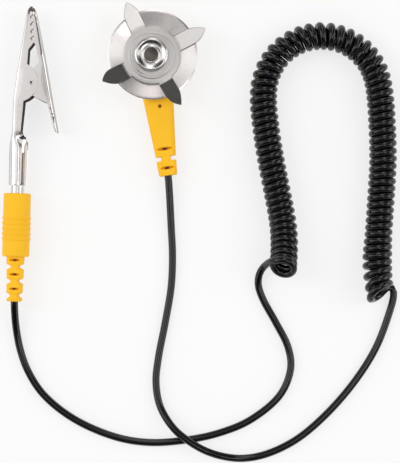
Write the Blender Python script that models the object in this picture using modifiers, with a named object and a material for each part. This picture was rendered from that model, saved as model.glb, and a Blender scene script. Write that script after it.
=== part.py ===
"""A bench ground cord laid out on a table, piece by piece.

A nickel-plated crocodile clip is pushed on a 4 mm banana plug. A thin lead runs from the
plug to a curly cord laid in an arch, and a second lead runs from the curly cord to a moulded
snap end. The snap end holds a 10 mm press-stud socket and a resistor, and a press stud
riveted to a steel disc with a four-bladed claw plate sits in the socket.

Lengths are in millimetres and angles in degrees. Meshes are written in metres, +Z up.
The table is the plane Z = 0, and the origin is on the press stud's axis.
"""

import math

import bmesh
import bpy
import numpy as np
from mathutils import Matrix, Vector

MM = 0.001

# ---------------------------------------------------------------- driving dimensions

SEAT_GAP = 0.15  # between pieces that touch
RUNNING_GAP = 0.08  # between a shaft and what turns on it

CORD_DIAMETER = 2.3
CONDUCTOR_DIAMETER = 0.7
CORD_BORE_RADIUS = CORD_DIAMETER / 2 + SEAT_GAP

# Where each end lies on the table, and which way it points.
SNAP_STEM_HEADING = -82.1
PLUG_FACE_X, PLUG_FACE_Y = -40.53, -41.49
PLUG_HEADING = 88.4

# Snap housing: a round head and a tapered stem that ends in a slotted strain relief.
HEAD_RADIUS = 8.5
HEAD_HEIGHT = 5.8
HEAD_EDGE = 1.1
HEAD_FLOOR = 0.9
STEM_AXIS_Z = 2.6
STEM_SHOULDER = 30.5
STEM_WIDTH_AT_DISC = 9.5
STEM_WIDTH_AT_SHOULDER = 6.2
STEM_HEIGHT = 5.0
STEM_CORNER = 1.5
STEM_ROOT = 3.0
MOULD_TIP_EDGE = 0.4
RELIEF_BLOCK_WIDTH = 5.9
RELIEF_BLOCK_TIP_WIDTH = 5.5
RELIEF_BLOCK_LENGTH = 4.35
RELIEF_NECK_WIDTH = 2.9
RELIEF_NOTCH_LENGTH = 1.55
POCKET_SETBACK = 2.2
POCKET_WIDTH = 4.4
POCKET_LENGTH = 1.0
POCKET_FLOOR = 0.8
CUT_PAST = 1.0
CORE_PIN_HOLE_RADIUS = 0.6
CORE_PIN_HOLE_AT = 15.4
BORE_RADIUS = 1.45

# Where the stem's parts end, and where its oval pockets lie.
BLOCK_START = STEM_SHOULDER + RELIEF_NOTCH_LENGTH
STEM_LENGTH = BLOCK_START + RELIEF_BLOCK_LENGTH
POCKET_PLACES = (STEM_SHOULDER - POCKET_SETBACK, BLOCK_START + RELIEF_BLOCK_LENGTH / 2)

# Press-stud socket, its ring spring, and the terminal below it.
SHEET = 0.4
SOCKET_RADIUS = 5.1
SOCKET_FLANGE_RADIUS = 7.1
SOCKET_GROOVE_RADIUS = 5.75
RING_WIRE_RADIUS = 0.3
RING_GAP_ANGLE = 24.0
TERMINAL_THICKNESS = 0.35
TERMINAL_WIDTH = 3.0
TERMINAL_LENGTH = 9.5
TERMINAL_CRANK = 1.2
TERMINAL_LAP = 1.5

# Resistor and its joint to the cord, as distances along the stem from the stud's axis.
RESISTOR_SETBACK = 2.0
RESISTOR_START = TERMINAL_LENGTH + RESISTOR_SETBACK
RESISTOR_LENGTH = 6.3
RESISTOR_RADIUS = 1.15
RESISTOR_WAIST = 0.95
RESISTOR_CAP_LENGTH = 1.3
RESISTOR_LEAD_RADIUS = 0.3
SLEEVE_SETBACK = 2.2
SLEEVE_START = RESISTOR_START + RESISTOR_LENGTH + SLEEVE_SETBACK
SLEEVE_LENGTH = 4.0
SLEEVE_RADIUS = 0.85
CORD_SETBACK = 1.0
CORD_START_IN_STEM = SLEEVE_START + SLEEVE_LENGTH + CORD_SETBACK

# Press stud, disc, claw plate and the eyelet that rivets them together.
STUD_RADIUS = 4.9
STUD_NECK_RADIUS = 4.55
STUD_FLANGE_RADIUS = 6.4
STUD_HEIGHT = 3.3
EYELET_BORE_RADIUS = 2.1
EYELET_WALL = 0.35
EYELET_HEAD_RADIUS = 5.1
EYELET_HEAD_HEIGHT = 1.1
EYELET_CREST_RADIUS = 4.4
EYELET_FUNNEL_RADIUS = 2.8
EYELET_FUNNEL_DEPTH = 0.5
EYELET_LIP_HEIGHT = 0.25
EYELET_ROLL = 0.7
EYELET_ROLL_HEIGHT = 0.4
DISC_RADIUS = 13.5
DISC_THICKNESS = 0.6
DISC_FLAT_RADIUS = 9.0
DISC_RISE = 0.45
CLAW_RING_RADIUS = 8.6
CLAW_THICKNESS = 0.5
CLAW_BEAD_RADIUS = 6.6
CLAW_BEAD_WIDTH = 1.5
CLAW_BEAD_HEIGHT = 0.3
BLADE_LEAF_START = 12.6
BLADE_TIP_HALF_WIDTH = 0.1
BLADE_ROOT_MARGIN = 0.1
# Each blade: direction, reach in plan, bend, width to its left and to its right.
BLADES = (
    (29.1, 18.3, 9.0, 2.3, 2.65),
    (115.5, 18.3, 9.0, 2.7, 2.15),
    (205.6, 16.9, 26.0, 2.7, 2.3),
    (301.0, 17.0, 26.0, 1.9, 2.5),
)

# Heights of the snap end's stack, from the head's floor up to the rivet's head.
TERMINAL_Z = HEAD_FLOOR + SEAT_GAP
SOCKET_FLOOR_Z = TERMINAL_Z + TERMINAL_THICKNESS + SEAT_GAP
SOCKET_TOP = HEAD_HEIGHT - SEAT_GAP
GROOVE_HIGH = SOCKET_TOP - SHEET
GROOVE_LOW = GROOVE_HIGH - 2 * RING_WIRE_RADIUS - 2 * SEAT_GAP
FLANGE_Z = HEAD_HEIGHT + SEAT_GAP
STUD_LOW_Z = FLANGE_Z - STUD_HEIGHT
DISC_Z = FLANGE_Z + SHEET + SEAT_GAP
CLAW_Z = DISC_Z + DISC_THICKNESS + SEAT_GAP
EYELET_Z = CLAW_Z + CLAW_THICKNESS + SEAT_GAP
EYELET_RADIUS = EYELET_BORE_RADIUS + EYELET_WALL
RIVET_HOLE_RADIUS = EYELET_RADIUS + SEAT_GAP

# Banana plug: moulded body with finger ribs, pin, and lantern spring.
PLUG_RADIUS = 4.1
PLUG_LENGTH = 19.1
RIB_COUNT = 5
RIB_PITCH = 1.56
RIB_HEIGHT = 0.25
FIRST_RIB_AT = 7.5
PLUG_AXIS_Z = PLUG_RADIUS + RIB_HEIGHT
PLUG_RELIEF_WIDTH = 5.4
PLUG_RELIEF_TIP_WIDTH = 4.8
PLUG_RELIEF_HEIGHT = 4.9
PLUG_RELIEF_LENGTH = 13.5
PLUG_RELIEF_PITCH = 4.35
PLUG_RELIEF_NOTCH = 1.35
PLUG_RELIEF_NECK = 2.9
PLUG_RELIEF_CORNER = 1.6
PLUG_RELIEF_ROOT = 1.5
PLUG_EDGE = 0.5
FIRST_NOTCH_SETBACK = 3.1
FIRST_NOTCH_AT = PLUG_LENGTH + FIRST_NOTCH_SETBACK
PLUG_SLOT_WIDTH = 3.0
PLUG_SLOT_LENGTH = 0.7
NOTCH_COUNT = 3
PIN_RADIUS = 2.0
PIN_BARE_LENGTH = 2.3
PIN_CORE_RADIUS = 1.15
PIN_LENGTH = 15.9
PIN_HEAD_RADIUS = 1.6
PIN_HEAD_LENGTH = 0.9
PIN_ANCHOR_RADIUS = 2.6
PIN_ANCHOR_AT = 3.4
PIN_ANCHOR_HALF_LENGTH = 0.6
PIN_ROOT_DEPTH = 9.0
CRIMP_DEPTH = 14.5
CRIMP_RADIUS = 1.5
CRIMP_BORE_OVERLAP = 1.5
CORD_START_IN_PLUG = CRIMP_DEPTH + CORD_SETBACK
CAGE_RADIUS = 2.15
CAGE_SHEET = 0.25
CAGE_COLLAR_LENGTH = 1.2
CAGE_STEPS = 6
CAGE_SLOTS = 6
CAGE_SLOT_WIDTH = 0.45

# Crocodile clip, measured from the plug's front face: along the plug, then to the lever's side.
CLIP_SHEET = 0.45
BARREL_START = 2.5
BARREL_END = 13.1
CHANNEL_START = 18.8
BARREL_MOUTH_RADIUS = 2.7
BARREL_RADIUS = 2.77
BARREL_SEAM_ANGLE = 9.0
PIVOT_ALONG, PIVOT_SIDE = 33.3, 3.6
JAW_HALF_WIDTH = 3.5
JAW_TIP_HALF_WIDTH = 1.7
JAW_FOLD_RADIUS = 0.8
TOOTH_COUNT = 4
TOOTH_PITCH = 2.17
TOOTH_DEPTH = 0.96
FIRST_TOOTH_AT = 45.4
TOOTH_LINE_START, TOOTH_LINE_END = 3.45, 2.9
JAW_MESH_GAP = 0.2
RIVET_RADIUS = 0.7
RIVET_HEAD_RADIUS = 1.05
RIVET_HEAD_LENGTH = 0.35
RIVET_DIMPLE_RADIUS = 0.5
RIVET_DIMPLE_DEPTH = 0.3
SPRING_WIRE_DIAMETER = 0.5
SPRING_RADIUS = 1.6
SPRING_WHOLE_TURNS = 4
SPRING_LEGS_END = 26.0
SPRING_PITCH = 0.95
SPRING_POINTS_PER_TURN = 10
TAIL_SLOT_LENGTH, TAIL_SLOT_WIDTH = 2.2, 0.7
TAIL_SLOT_ALONG, TAIL_SLOT_SIDE = 22.3, 10.55
TAIL_SLOT_HEADING = 12.0

# Curly cord.
COIL_RADIUS = 3.2
COIL_TURNS = 53.69
COIL_POINTS_PER_TURN = 8
COIL_START_PHASE = -70.0
COIL_LEAST_GAP = 0.4
COIL_END_OPENING = 0.45
COIL_END_LENGTH = 5.0
COIL_STEP = 0.4
COIL_EASING_COUNT = 21
COIL_END_RUN = CORD_DIAMETER
CORD_JOINT_GAP = 0.3
CORD_POINT_SPACING = 6.2
CORD_BEND_WEIGHT = 5.0

FACET_COUNT = 20
WIDE_FACET_COUNT = 28

# ---------------------------------------------------------------- cord routes, chosen by hand

LYING = CORD_DIAMETER / 2
COIL_Z = COIL_RADIUS + LYING
ARCH_CENTRE_X, ARCH_CENTRE_Y, ARCH_RADIUS = 51.25, -11.4, 17.55
ARCH_STEPS = 8

LEFT_LEG = [
    (39.5, -63.6, COIL_Z + 1.2),
    (39.9, -60.9, COIL_Z + 0.2),
    (40.1, -57.5, COIL_Z),
    (39.8, -51.5, COIL_Z),
    (38.1, -42.0, COIL_Z),
    (36.0, -31.4, COIL_Z),
    (34.6, -22.3, COIL_Z),
]
RIGHT_LEG = [
    (69.4, -20.8, COIL_Z),
    (69.7, -31.4, COIL_Z),
    (69.2, -40.5, COIL_Z),
    (68.5, -51.0, COIL_Z),
    (68.0, -58.6, COIL_Z),
    (68.0, -64.5, COIL_Z),
    (68.4, -70.4, COIL_Z),
]
SNAP_LEAD_ROUTE = [
    (5.5, -40.5, 2.3),
    (5.9, -51.5, 1.2),
    (6.2, -60.5, LYING),
    (5.8, -69.7, LYING),
    (4.0, -80.7, LYING),
    (1.9, -91.7, LYING),
    (1.2, -98.9, LYING),
    (2.5, -106.2, 1.6),
    (6.6, -112.5, 3.3),
    (10.9, -116.2, 3.9),
    (16.2, -119.4, 3.2),
    (22.0, -121.4, 1.7),
    (27.6, -122.0, LYING),
    (34.4, -120.8, LYING),
    (43.6, -116.4, LYING),
    (52.8, -108.8, LYING),
    (61.8, -98.3, LYING),
    (68.3, -87.9, LYING),
    (72.6, -77.0, LYING),
    (74.0, -73.3, LYING),
]
PLUG_LEAD_ROUTE = [
    (-41.4, -77.0, 3.9),
    (-41.3, -83.2, 1.9),
    (-40.1, -88.8, LYING),
    (-37.8, -95.3, LYING),
    (-33.0, -102.5, LYING),
    (-23.9, -109.9, LYING),
    (-11.2, -115.4, LYING),
    (-0.6, -117.1, LYING),
    (11.5, -116.2, LYING),
    (20.8, -114.1, LYING),
    (29.9, -110.3, LYING),
    (39.1, -102.5, LYING),
    (42.2, -94.5, LYING),
    (41.3, -87.9, LYING),
    (37.7, -80.7, LYING),
    (33.6, -73.3, 1.6),
    (32.3, -69.3, 2.7),
    (32.3, -66.3, 3.9),
]

# ---------------------------------------------------------------- scene, frames and materials


def clear_scene():
    for old in list(bpy.data.objects):
        bpy.data.objects.remove(old, do_unlink=True)


def new_collection(name):
    collection = bpy.data.collections.new(name)
    bpy.context.scene.collection.children.link(collection)
    return collection


def new_frame(name, x, y, z, heading):
    """An empty whose X axis runs along a heading on the table."""
    frame = bpy.data.objects.new(name, None)
    frame.location = (x * MM, y * MM, z * MM)
    frame.rotation_euler = (0.0, 0.0, math.radians(heading))
    frame.empty_display_size = 0.005
    PIECES.objects.link(frame)
    return frame


def new_material(name, colour, roughness, metallic=0.0):
    material = bpy.data.materials.new(name)
    material.use_nodes = True
    shader = material.node_tree.nodes["Principled BSDF"]
    shader.inputs["Base Color"].default_value = (*colour, 1.0)
    shader.inputs["Roughness"].default_value = roughness
    shader.inputs["Metallic"].default_value = metallic
    material.diffuse_color = (*colour, 1.0)
    return material


clear_scene()
PIECES = new_collection("ground_cord")
CUTTERS = new_collection("cutters")

YELLOW = new_material("yellow_moulding", (1.0, 0.52, 0.02), 0.45)
BLACK_CORD = new_material("black_cord", (0.012, 0.012, 0.015), 0.35)
NICKEL = new_material("nickel_plate", (0.72, 0.70, 0.66), 0.22, 1.0)
BRIGHT_STEEL = new_material("bright_steel", (0.78, 0.77, 0.75), 0.15, 1.0)
SPRING_STEEL = new_material("spring_steel", (0.45, 0.45, 0.46), 0.35, 1.0)
COPPER = new_material("tinned_copper", (0.75, 0.66, 0.55), 0.4, 1.0)
ENAMEL = new_material("resistor_enamel", (0.62, 0.48, 0.30), 0.55)

SNAP_FRAME = new_frame("snap_frame", 0.0, 0.0, 0.0, SNAP_STEM_HEADING)
PLUG_FRAME = new_frame("plug_frame", PLUG_FACE_X, PLUG_FACE_Y, PLUG_AXIS_Z, PLUG_HEADING)

# ---------------------------------------------------------------- shape tools


def unit(rows):
    return rows / np.linalg.norm(rows, axis=-1, keepdims=True)


def place(obj, frame, location=(0, 0, 0), rotation=(0, 0, 0)):
    obj.parent = frame
    obj.location = Vector(location) * MM
    obj.rotation_euler = rotation
    return obj


def add_object(name, data, material):
    """A piece goes with the pieces, and a shape with no material goes with the cutters."""
    obj = bpy.data.objects.new(name, data)
    if material is None:
        obj.hide_render = True
        obj.display_type = "WIRE"
        CUTTERS.objects.link(obj)
    else:
        data.materials.append(material)
        PIECES.objects.link(obj)
    return obj


def mesh_object(name, bm, material):
    """Scales a shape drawn in millimetres to metres and makes it an object."""
    bmesh.ops.scale(bm, vec=(MM, MM, MM), verts=bm.verts)
    mesh = bpy.data.meshes.new(name)
    bm.to_mesh(mesh)
    bm.free()
    mesh.shade_smooth()
    return add_object(name, mesh, material)


def turned(name, profile, material, steps=FACET_COUNT):
    """Turns an (r, z) profile about Z: closed, or open with both ends on the axis."""
    solid_core = profile[0][0] == 0.0 and profile[-1][0] == 0.0
    ring = profile[1:] + profile[:1]
    area = sum(a[0] * b[1] - b[0] * a[1] for a, b in zip(profile, ring))
    points = profile[::-1] if area > 0 else profile
    bm = bmesh.new()
    verts = [bm.verts.new((r, 0.0, z)) for r, z in points]
    for a, b in zip(verts, verts[1:]):
        bm.edges.new((a, b))
    if not solid_core:
        bm.edges.new((verts[-1], verts[0]))
    obj = mesh_object(name, bm, material)
    screw = obj.modifiers.new("turn", "SCREW")
    screw.axis = "Z"
    screw.angle = math.tau
    screw.steps = steps
    screw.render_steps = steps
    screw.use_merge_vertices = True
    screw.merge_threshold = 0.000001
    screw.use_smooth_shade = True
    return obj


ALONG = (0.0, math.pi / 2, 0.0)  # turns a shape's Z axis to its frame's X axis


def loft(name, sections, material):
    """Joins closed sections of equal point counts and caps the two ends."""
    bm = bmesh.new()
    rings = [[bm.verts.new(point) for point in section] for section in sections]
    for ring, after in zip(rings, rings[1:]):
        for i in range(len(ring)):
            j = (i + 1) % len(ring)
            bm.faces.new((ring[i], ring[j], after[j], after[i]))
    bm.faces.new(rings[0][::-1])
    bm.faces.new(rings[-1])
    bmesh.ops.recalc_face_normals(bm, faces=bm.faces)
    return mesh_object(name, bm, material)


def box(name, low, high, material=None):
    bm = bmesh.new()
    bmesh.ops.create_cube(bm, size=1.0)
    size = [b - a for a, b in zip(low, high)]
    centre = [(a + b) / 2 for a, b in zip(low, high)]
    bmesh.ops.scale(bm, vec=size, verts=bm.verts)
    bmesh.ops.translate(bm, vec=centre, verts=bm.verts)
    return mesh_object(name, bm, material)


def post(name, centre, radius_x, radius_y, low_z, high_z, segments=FACET_COUNT):
    """A vertical round or oval cutter."""
    bm = bmesh.new()
    bmesh.ops.create_cone(
        bm, cap_ends=True, segments=segments, radius1=1.0, radius2=1.0, depth=high_z - low_z
    )
    bmesh.ops.scale(bm, vec=(radius_x, radius_y, 1.0), verts=bm.verts)
    bmesh.ops.translate(bm, vec=(*centre, (low_z + high_z) / 2), verts=bm.verts)
    return mesh_object(name, bm, None)


def combine(obj, operation, others):
    for other in others:
        boolean = obj.modifiers.new(operation.lower(), "BOOLEAN")
        boolean.operation = operation
        boolean.solver = "EXACT"
        boolean.object = other


def tube(name, points, radius, material, bevel_resolution=2):
    curve = bpy.data.curves.new(name, "CURVE")
    curve.dimensions = "3D"
    curve.bevel_depth = radius * MM
    curve.bevel_resolution = bevel_resolution
    curve.use_fill_caps = True
    spline = curve.splines.new("POLY")
    spline.points.add(len(points) - 1)
    for target, point in zip(spline.points, points):
        target.co = (*(Vector(point) * MM), 1.0)
    return add_object(name, curve, material)


def rounded_section(along, half_width, low_z, high_z, corner, points_per_corner=4):
    """A rounded rectangle across the frame's X axis."""
    centres = (
        (half_width - corner, high_z - corner),
        (-half_width + corner, high_z - corner),
        (-half_width + corner, low_z + corner),
        (half_width - corner, low_z + corner),
    )
    section = []
    for quarter, (y, z) in enumerate(centres):
        for step in range(points_per_corner):
            angle = math.pi / 2 * (quarter + step / (points_per_corner - 1))
            section.append((along, y + corner * math.cos(angle), z + corner * math.sin(angle)))
    return section


def smooth_route(points, spacing, bend_weight=0.0):
    """Points along a smooth curve through hand-chosen points, closer together at bends."""
    given = np.array(points, float)
    padded = np.vstack([2 * given[0] - given[1], given, 2 * given[-1] - given[-2]])
    dense = []
    for p0, p1, p2, p3 in zip(padded, padded[1:], padded[2:], padded[3:]):
        for t in np.linspace(0.0, 1.0, 24, endpoint=False):
            bend = (2 * p0 - 5 * p1 + 4 * p2 - p3) * t**2 + (3 * p1 - p0 - 3 * p2 + p3) * t**3
            dense.append(p1 + ((p2 - p0) * t + bend) / 2)
    dense.append(given[-1])
    dense = np.array(dense)
    runs = np.diff(dense, axis=0)
    turns = np.linalg.norm(np.diff(unit(runs), axis=0, append=unit(runs[-1:])), axis=1)
    weighed = np.linalg.norm(runs, axis=1) + bend_weight * turns
    walked = np.concatenate([[0.0], np.cumsum(weighed)])
    count = max(2, round(walked[-1] / spacing) + 1)
    wanted = np.linspace(0.0, walked[-1], count)
    return np.column_stack([np.interp(wanted, walked, dense[:, axis]) for axis in range(3)])


def least_gap_to_itself(points, diameter, skip):
    """The least clear distance between stretches of a tube that are not neighbours."""
    path = np.array(points, float)
    starts, runs = path[:-1], np.diff(path, axis=0)
    least = math.inf
    for i, point in enumerate(path):
        far = np.abs(np.arange(len(starts)) - i) > skip
        offset = point - starts[far]
        share = np.sum(offset * runs[far], axis=1) / np.sum(runs[far] ** 2, axis=1)
        nearest = offset - np.clip(share, 0.0, 1.0)[:, None] * runs[far]
        least = min(least, float(np.linalg.norm(nearest, axis=1).min()))
    return least - diameter


# ---------------------------------------------------------------- snap end, fixed pieces


def build_snap_housing():
    head_profile = [
        (0.0, HEAD_HEIGHT),
        (HEAD_RADIUS - HEAD_EDGE, HEAD_HEIGHT),
        (HEAD_RADIUS - 0.3 * HEAD_EDGE, HEAD_HEIGHT - 0.3 * HEAD_EDGE),
        (HEAD_RADIUS, HEAD_HEIGHT - HEAD_EDGE),
        (HEAD_RADIUS, HEAD_EDGE),
        (HEAD_RADIUS - 0.3 * HEAD_EDGE, 0.3 * HEAD_EDGE),
        (HEAD_RADIUS - HEAD_EDGE, 0.0),
        (0.0, 0.0),
    ]
    housing = place(turned("snap_housing", head_profile, YELLOW, WIDE_FACET_COUNT), SNAP_FRAME)

    taper = (STEM_WIDTH_AT_DISC - STEM_WIDTH_AT_SHOULDER) / (STEM_SHOULDER - DISC_RADIUS)
    low = STEM_AXIS_Z - STEM_HEIGHT / 2
    high = STEM_AXIS_Z + STEM_HEIGHT / 2
    third_of_notch = RELIEF_NOTCH_LENGTH / 3
    sections = []
    for along in (STEM_ROOT, DISC_RADIUS, STEM_SHOULDER + third_of_notch):
        width = STEM_WIDTH_AT_SHOULDER + taper * (STEM_SHOULDER - along)
        sections.append(rounded_section(along, width / 2, low, high, STEM_CORNER))
    block_half, edge = RELIEF_BLOCK_WIDTH / 2, MOULD_TIP_EDGE
    in_notch = BLOCK_START - third_of_notch
    sections.append(rounded_section(in_notch, block_half, low, high, STEM_CORNER))
    block_half = RELIEF_BLOCK_TIP_WIDTH / 2
    sections.append(rounded_section(STEM_LENGTH - edge, block_half, low, high, STEM_CORNER))
    tip_half, tip_corner = block_half - edge, STEM_CORNER - edge
    sections.append(rounded_section(STEM_LENGTH, tip_half, low + edge, high - edge, tip_corner))
    stem = place(loft("stem", sections, None), SNAP_FRAME)
    combine(housing, "UNION", [stem])

    recess = [
        (0.0, HEAD_HEIGHT + CUT_PAST),
        (SOCKET_FLANGE_RADIUS + SEAT_GAP, HEAD_HEIGHT + CUT_PAST),
        (SOCKET_FLANGE_RADIUS + SEAT_GAP, SOCKET_TOP - SHEET - SEAT_GAP),
        (SOCKET_GROOVE_RADIUS + SHEET + SEAT_GAP, SOCKET_TOP - SHEET - SEAT_GAP),
        (SOCKET_GROOVE_RADIUS + SHEET + SEAT_GAP, GROOVE_LOW - SHEET - SEAT_GAP),
        (SOCKET_RADIUS + SHEET + SEAT_GAP, GROOVE_LOW - SHEET - SEAT_GAP),
        (SOCKET_RADIUS + SHEET + SEAT_GAP, HEAD_FLOOR),
        (0.0, HEAD_FLOOR),
    ]
    cavity_start = SOCKET_RADIUS - 1.0
    cord_bore_start = CORD_START_IN_STEM - SEAT_GAP
    bore = [
        (0.0, STEM_LENGTH + CUT_PAST),
        (CORD_BORE_RADIUS, STEM_LENGTH + CUT_PAST),
        (CORD_BORE_RADIUS, cord_bore_start),
        (BORE_RADIUS, cord_bore_start),
        (BORE_RADIUS, cavity_start),
        (0.0, cavity_start),
    ]
    half_pocket = TERMINAL_WIDTH / 2 + SEAT_GAP
    pocket_low = (cavity_start, -half_pocket, HEAD_FLOOR)
    pocket_high = (TERMINAL_LENGTH + SEAT_GAP, half_pocket, STEM_AXIS_Z)
    cutters = [
        place(turned("socket_recess", recess, None, WIDE_FACET_COUNT), SNAP_FRAME),
        place(turned("stem_bore", bore, None), SNAP_FRAME, (0, 0, STEM_AXIS_Z), ALONG),
        place(box("terminal_pocket", pocket_low, pocket_high), SNAP_FRAME),
    ]
    hole_at = (CORE_PIN_HOLE_AT, 0.0)
    radius = CORE_PIN_HOLE_RADIUS
    hole = post("core_pin_hole", hole_at, radius, radius, STEM_AXIS_Z, HEAD_HEIGHT, 12)
    cutters.append(place(hole, SNAP_FRAME))
    half_length, half_width = POCKET_LENGTH / 2, POCKET_WIDTH / 2
    below, above = low - CUT_PAST, high + CUT_PAST
    for along in POCKET_PLACES:
        for start, stop in ((below, STEM_AXIS_Z - POCKET_FLOOR), (STEM_AXIS_Z + POCKET_FLOOR, above)):
            pocket = post("relief_pocket", (along, 0.0), half_length, half_width, start, stop, 16)
            cutters.append(place(pocket, SNAP_FRAME))
    for side in (-1, 1):
        edges = sorted((side * RELIEF_NECK_WIDTH / 2, side * STEM_WIDTH_AT_SHOULDER))
        notch_low, notch_high = (STEM_SHOULDER, edges[0], below), (BLOCK_START, edges[1], above)
        cutters.append(place(box("relief_notch", notch_low, notch_high), SNAP_FRAME))
    combine(housing, "DIFFERENCE", cutters)


def build_snap_socket():
    profile = [
        (0.0, SOCKET_FLOOR_Z + SHEET),
        (SOCKET_RADIUS, SOCKET_FLOOR_Z + SHEET),
        (SOCKET_RADIUS, GROOVE_LOW),
        (SOCKET_GROOVE_RADIUS, GROOVE_LOW),
        (SOCKET_GROOVE_RADIUS, GROOVE_HIGH),
        (SOCKET_RADIUS + 0.3, GROOVE_HIGH),
        (SOCKET_RADIUS + 0.5, SOCKET_TOP),
        (SOCKET_FLANGE_RADIUS, SOCKET_TOP),
        (SOCKET_FLANGE_RADIUS, GROOVE_HIGH),
        (SOCKET_GROOVE_RADIUS + SHEET, GROOVE_HIGH),
        (SOCKET_GROOVE_RADIUS + SHEET, GROOVE_LOW - SHEET),
        (SOCKET_RADIUS + SHEET, GROOVE_LOW - SHEET),
        (SOCKET_RADIUS + SHEET, SOCKET_FLOOR_Z),
        (0.0, SOCKET_FLOOR_Z),
    ]
    place(turned("snap_socket", profile, NICKEL, WIDE_FACET_COUNT), SNAP_FRAME)


def build_socket_terminal():
    """A strip below the socket that cranks up to carry the resistor's lead."""
    seat_z = STEM_AXIS_Z - RESISTOR_LEAD_RADIUS - SEAT_GAP - TERMINAL_THICKNESS
    crank_start = SOCKET_RADIUS + SHEET + 0.6
    stations = (
        (-SOCKET_RADIUS / 2, TERMINAL_Z),
        (crank_start, TERMINAL_Z),
        (crank_start + TERMINAL_CRANK, seat_z),
        (TERMINAL_LENGTH, seat_z),
    )
    half = TERMINAL_WIDTH / 2
    sections = []
    for x, z in stations:
        top = z + TERMINAL_THICKNESS
        sections.append([(x, -half, z), (x, half, z), (x, half, top), (x, -half, top)])
    place(loft("socket_terminal", sections, COPPER), SNAP_FRAME)


def build_resistor():
    end = RESISTOR_START + RESISTOR_LENGTH
    cap = RESISTOR_CAP_LENGTH
    body = [
        (0.0, RESISTOR_START),
        (RESISTOR_RADIUS - 0.3, RESISTOR_START),
        (RESISTOR_RADIUS, RESISTOR_START + 0.3),
        (RESISTOR_RADIUS, RESISTOR_START + cap),
        (RESISTOR_WAIST, RESISTOR_START + cap + 0.3),
        (RESISTOR_WAIST, end - cap - 0.3),
        (RESISTOR_RADIUS, end - cap),
        (RESISTOR_RADIUS, end - 0.3),
        (RESISTOR_RADIUS - 0.3, end),
        (0.0, end),
    ]
    axis = (0, 0, STEM_AXIS_Z)
    place(turned("resistor_body", body, ENAMEL, 16), SNAP_FRAME, axis, ALONG)
    splice_centre = SLEEVE_START + SLEEVE_LENGTH / 2
    wires = (
        ("resistor_lead_front", TERMINAL_LENGTH - TERMINAL_LAP, RESISTOR_START - SEAT_GAP),
        ("resistor_lead_rear", end + SEAT_GAP, splice_centre - SEAT_GAP),
    )
    for name, start, stop in wires:
        build_rod(name, start, stop, RESISTOR_LEAD_RADIUS, SNAP_FRAME, STEM_AXIS_Z)
    stub_start = splice_centre + SEAT_GAP
    stub_stop = CORD_START_IN_STEM - SEAT_GAP
    radius = CONDUCTOR_DIAMETER / 2
    build_rod("conductor_snap_end", stub_start, stub_stop, radius, SNAP_FRAME, STEM_AXIS_Z)
    inner = radius + SEAT_GAP
    sleeve = [
        (SLEEVE_RADIUS, SLEEVE_START + SLEEVE_LENGTH),
        (SLEEVE_RADIUS, SLEEVE_START),
        (inner, SLEEVE_START),
        (inner, SLEEVE_START + SLEEVE_LENGTH),
    ]
    place(turned("splice_sleeve", sleeve, COPPER, 16), SNAP_FRAME, axis, ALONG)


def build_rod(name, start, stop, radius, frame, axis_z=0.0):
    profile = [(0.0, stop), (radius, stop), (radius, start), (0.0, start)]
    place(turned(name, profile, COPPER, 12), frame, (0, 0, axis_z), ALONG)


# ---------------------------------------------------------------- snap end, loose pieces

def build_ring_spring():
    """A ring of wire, open at one side, in the socket's groove."""
    ring_radius = STUD_RADIUS + 0.1 + RING_WIRE_RADIUS
    opening = math.radians(RING_GAP_ANGLE)
    count = 24
    points = []
    for step in range(count + 1):
        angle = opening / 2 + (math.tau - opening) * step / count
        points.append((ring_radius * math.cos(angle), ring_radius * math.sin(angle), 0.0))
    ring = tube("snap_ring_spring", points, RING_WIRE_RADIUS, SPRING_STEEL, 1)
    place(ring, SNAP_FRAME, (0, 0, (GROOVE_LOW + GROOVE_HIGH) / 2))


def build_snap_stud():
    """The drawn press stud: a flange under the disc and a necked post in the socket."""
    low = STUD_LOW_Z
    neck_low = GROOVE_LOW + 0.2
    profile = [
        (STUD_FLANGE_RADIUS, FLANGE_Z + SHEET),
        (STUD_FLANGE_RADIUS, FLANGE_Z),
        (STUD_NECK_RADIUS + 0.3, FLANGE_Z),
        (STUD_NECK_RADIUS, FLANGE_Z - 0.3),
        (STUD_NECK_RADIUS, neck_low + 0.3),
        (STUD_RADIUS, neck_low - 0.1),
        (STUD_RADIUS, low + 0.7),
        (STUD_RADIUS - 0.6, low),
        (RIVET_HOLE_RADIUS, low),
        (RIVET_HOLE_RADIUS, low + SHEET),
        (STUD_RADIUS - 0.8, low + SHEET),
        (STUD_RADIUS - SHEET, low + 0.9),
        (STUD_RADIUS - SHEET, neck_low - 0.3),
        (STUD_NECK_RADIUS - SHEET, neck_low + 0.1),
        (STUD_NECK_RADIUS - SHEET, FLANGE_Z + SHEET),
    ]
    place(turned("snap_stud", profile, NICKEL, WIDE_FACET_COUNT), SNAP_FRAME)


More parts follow.
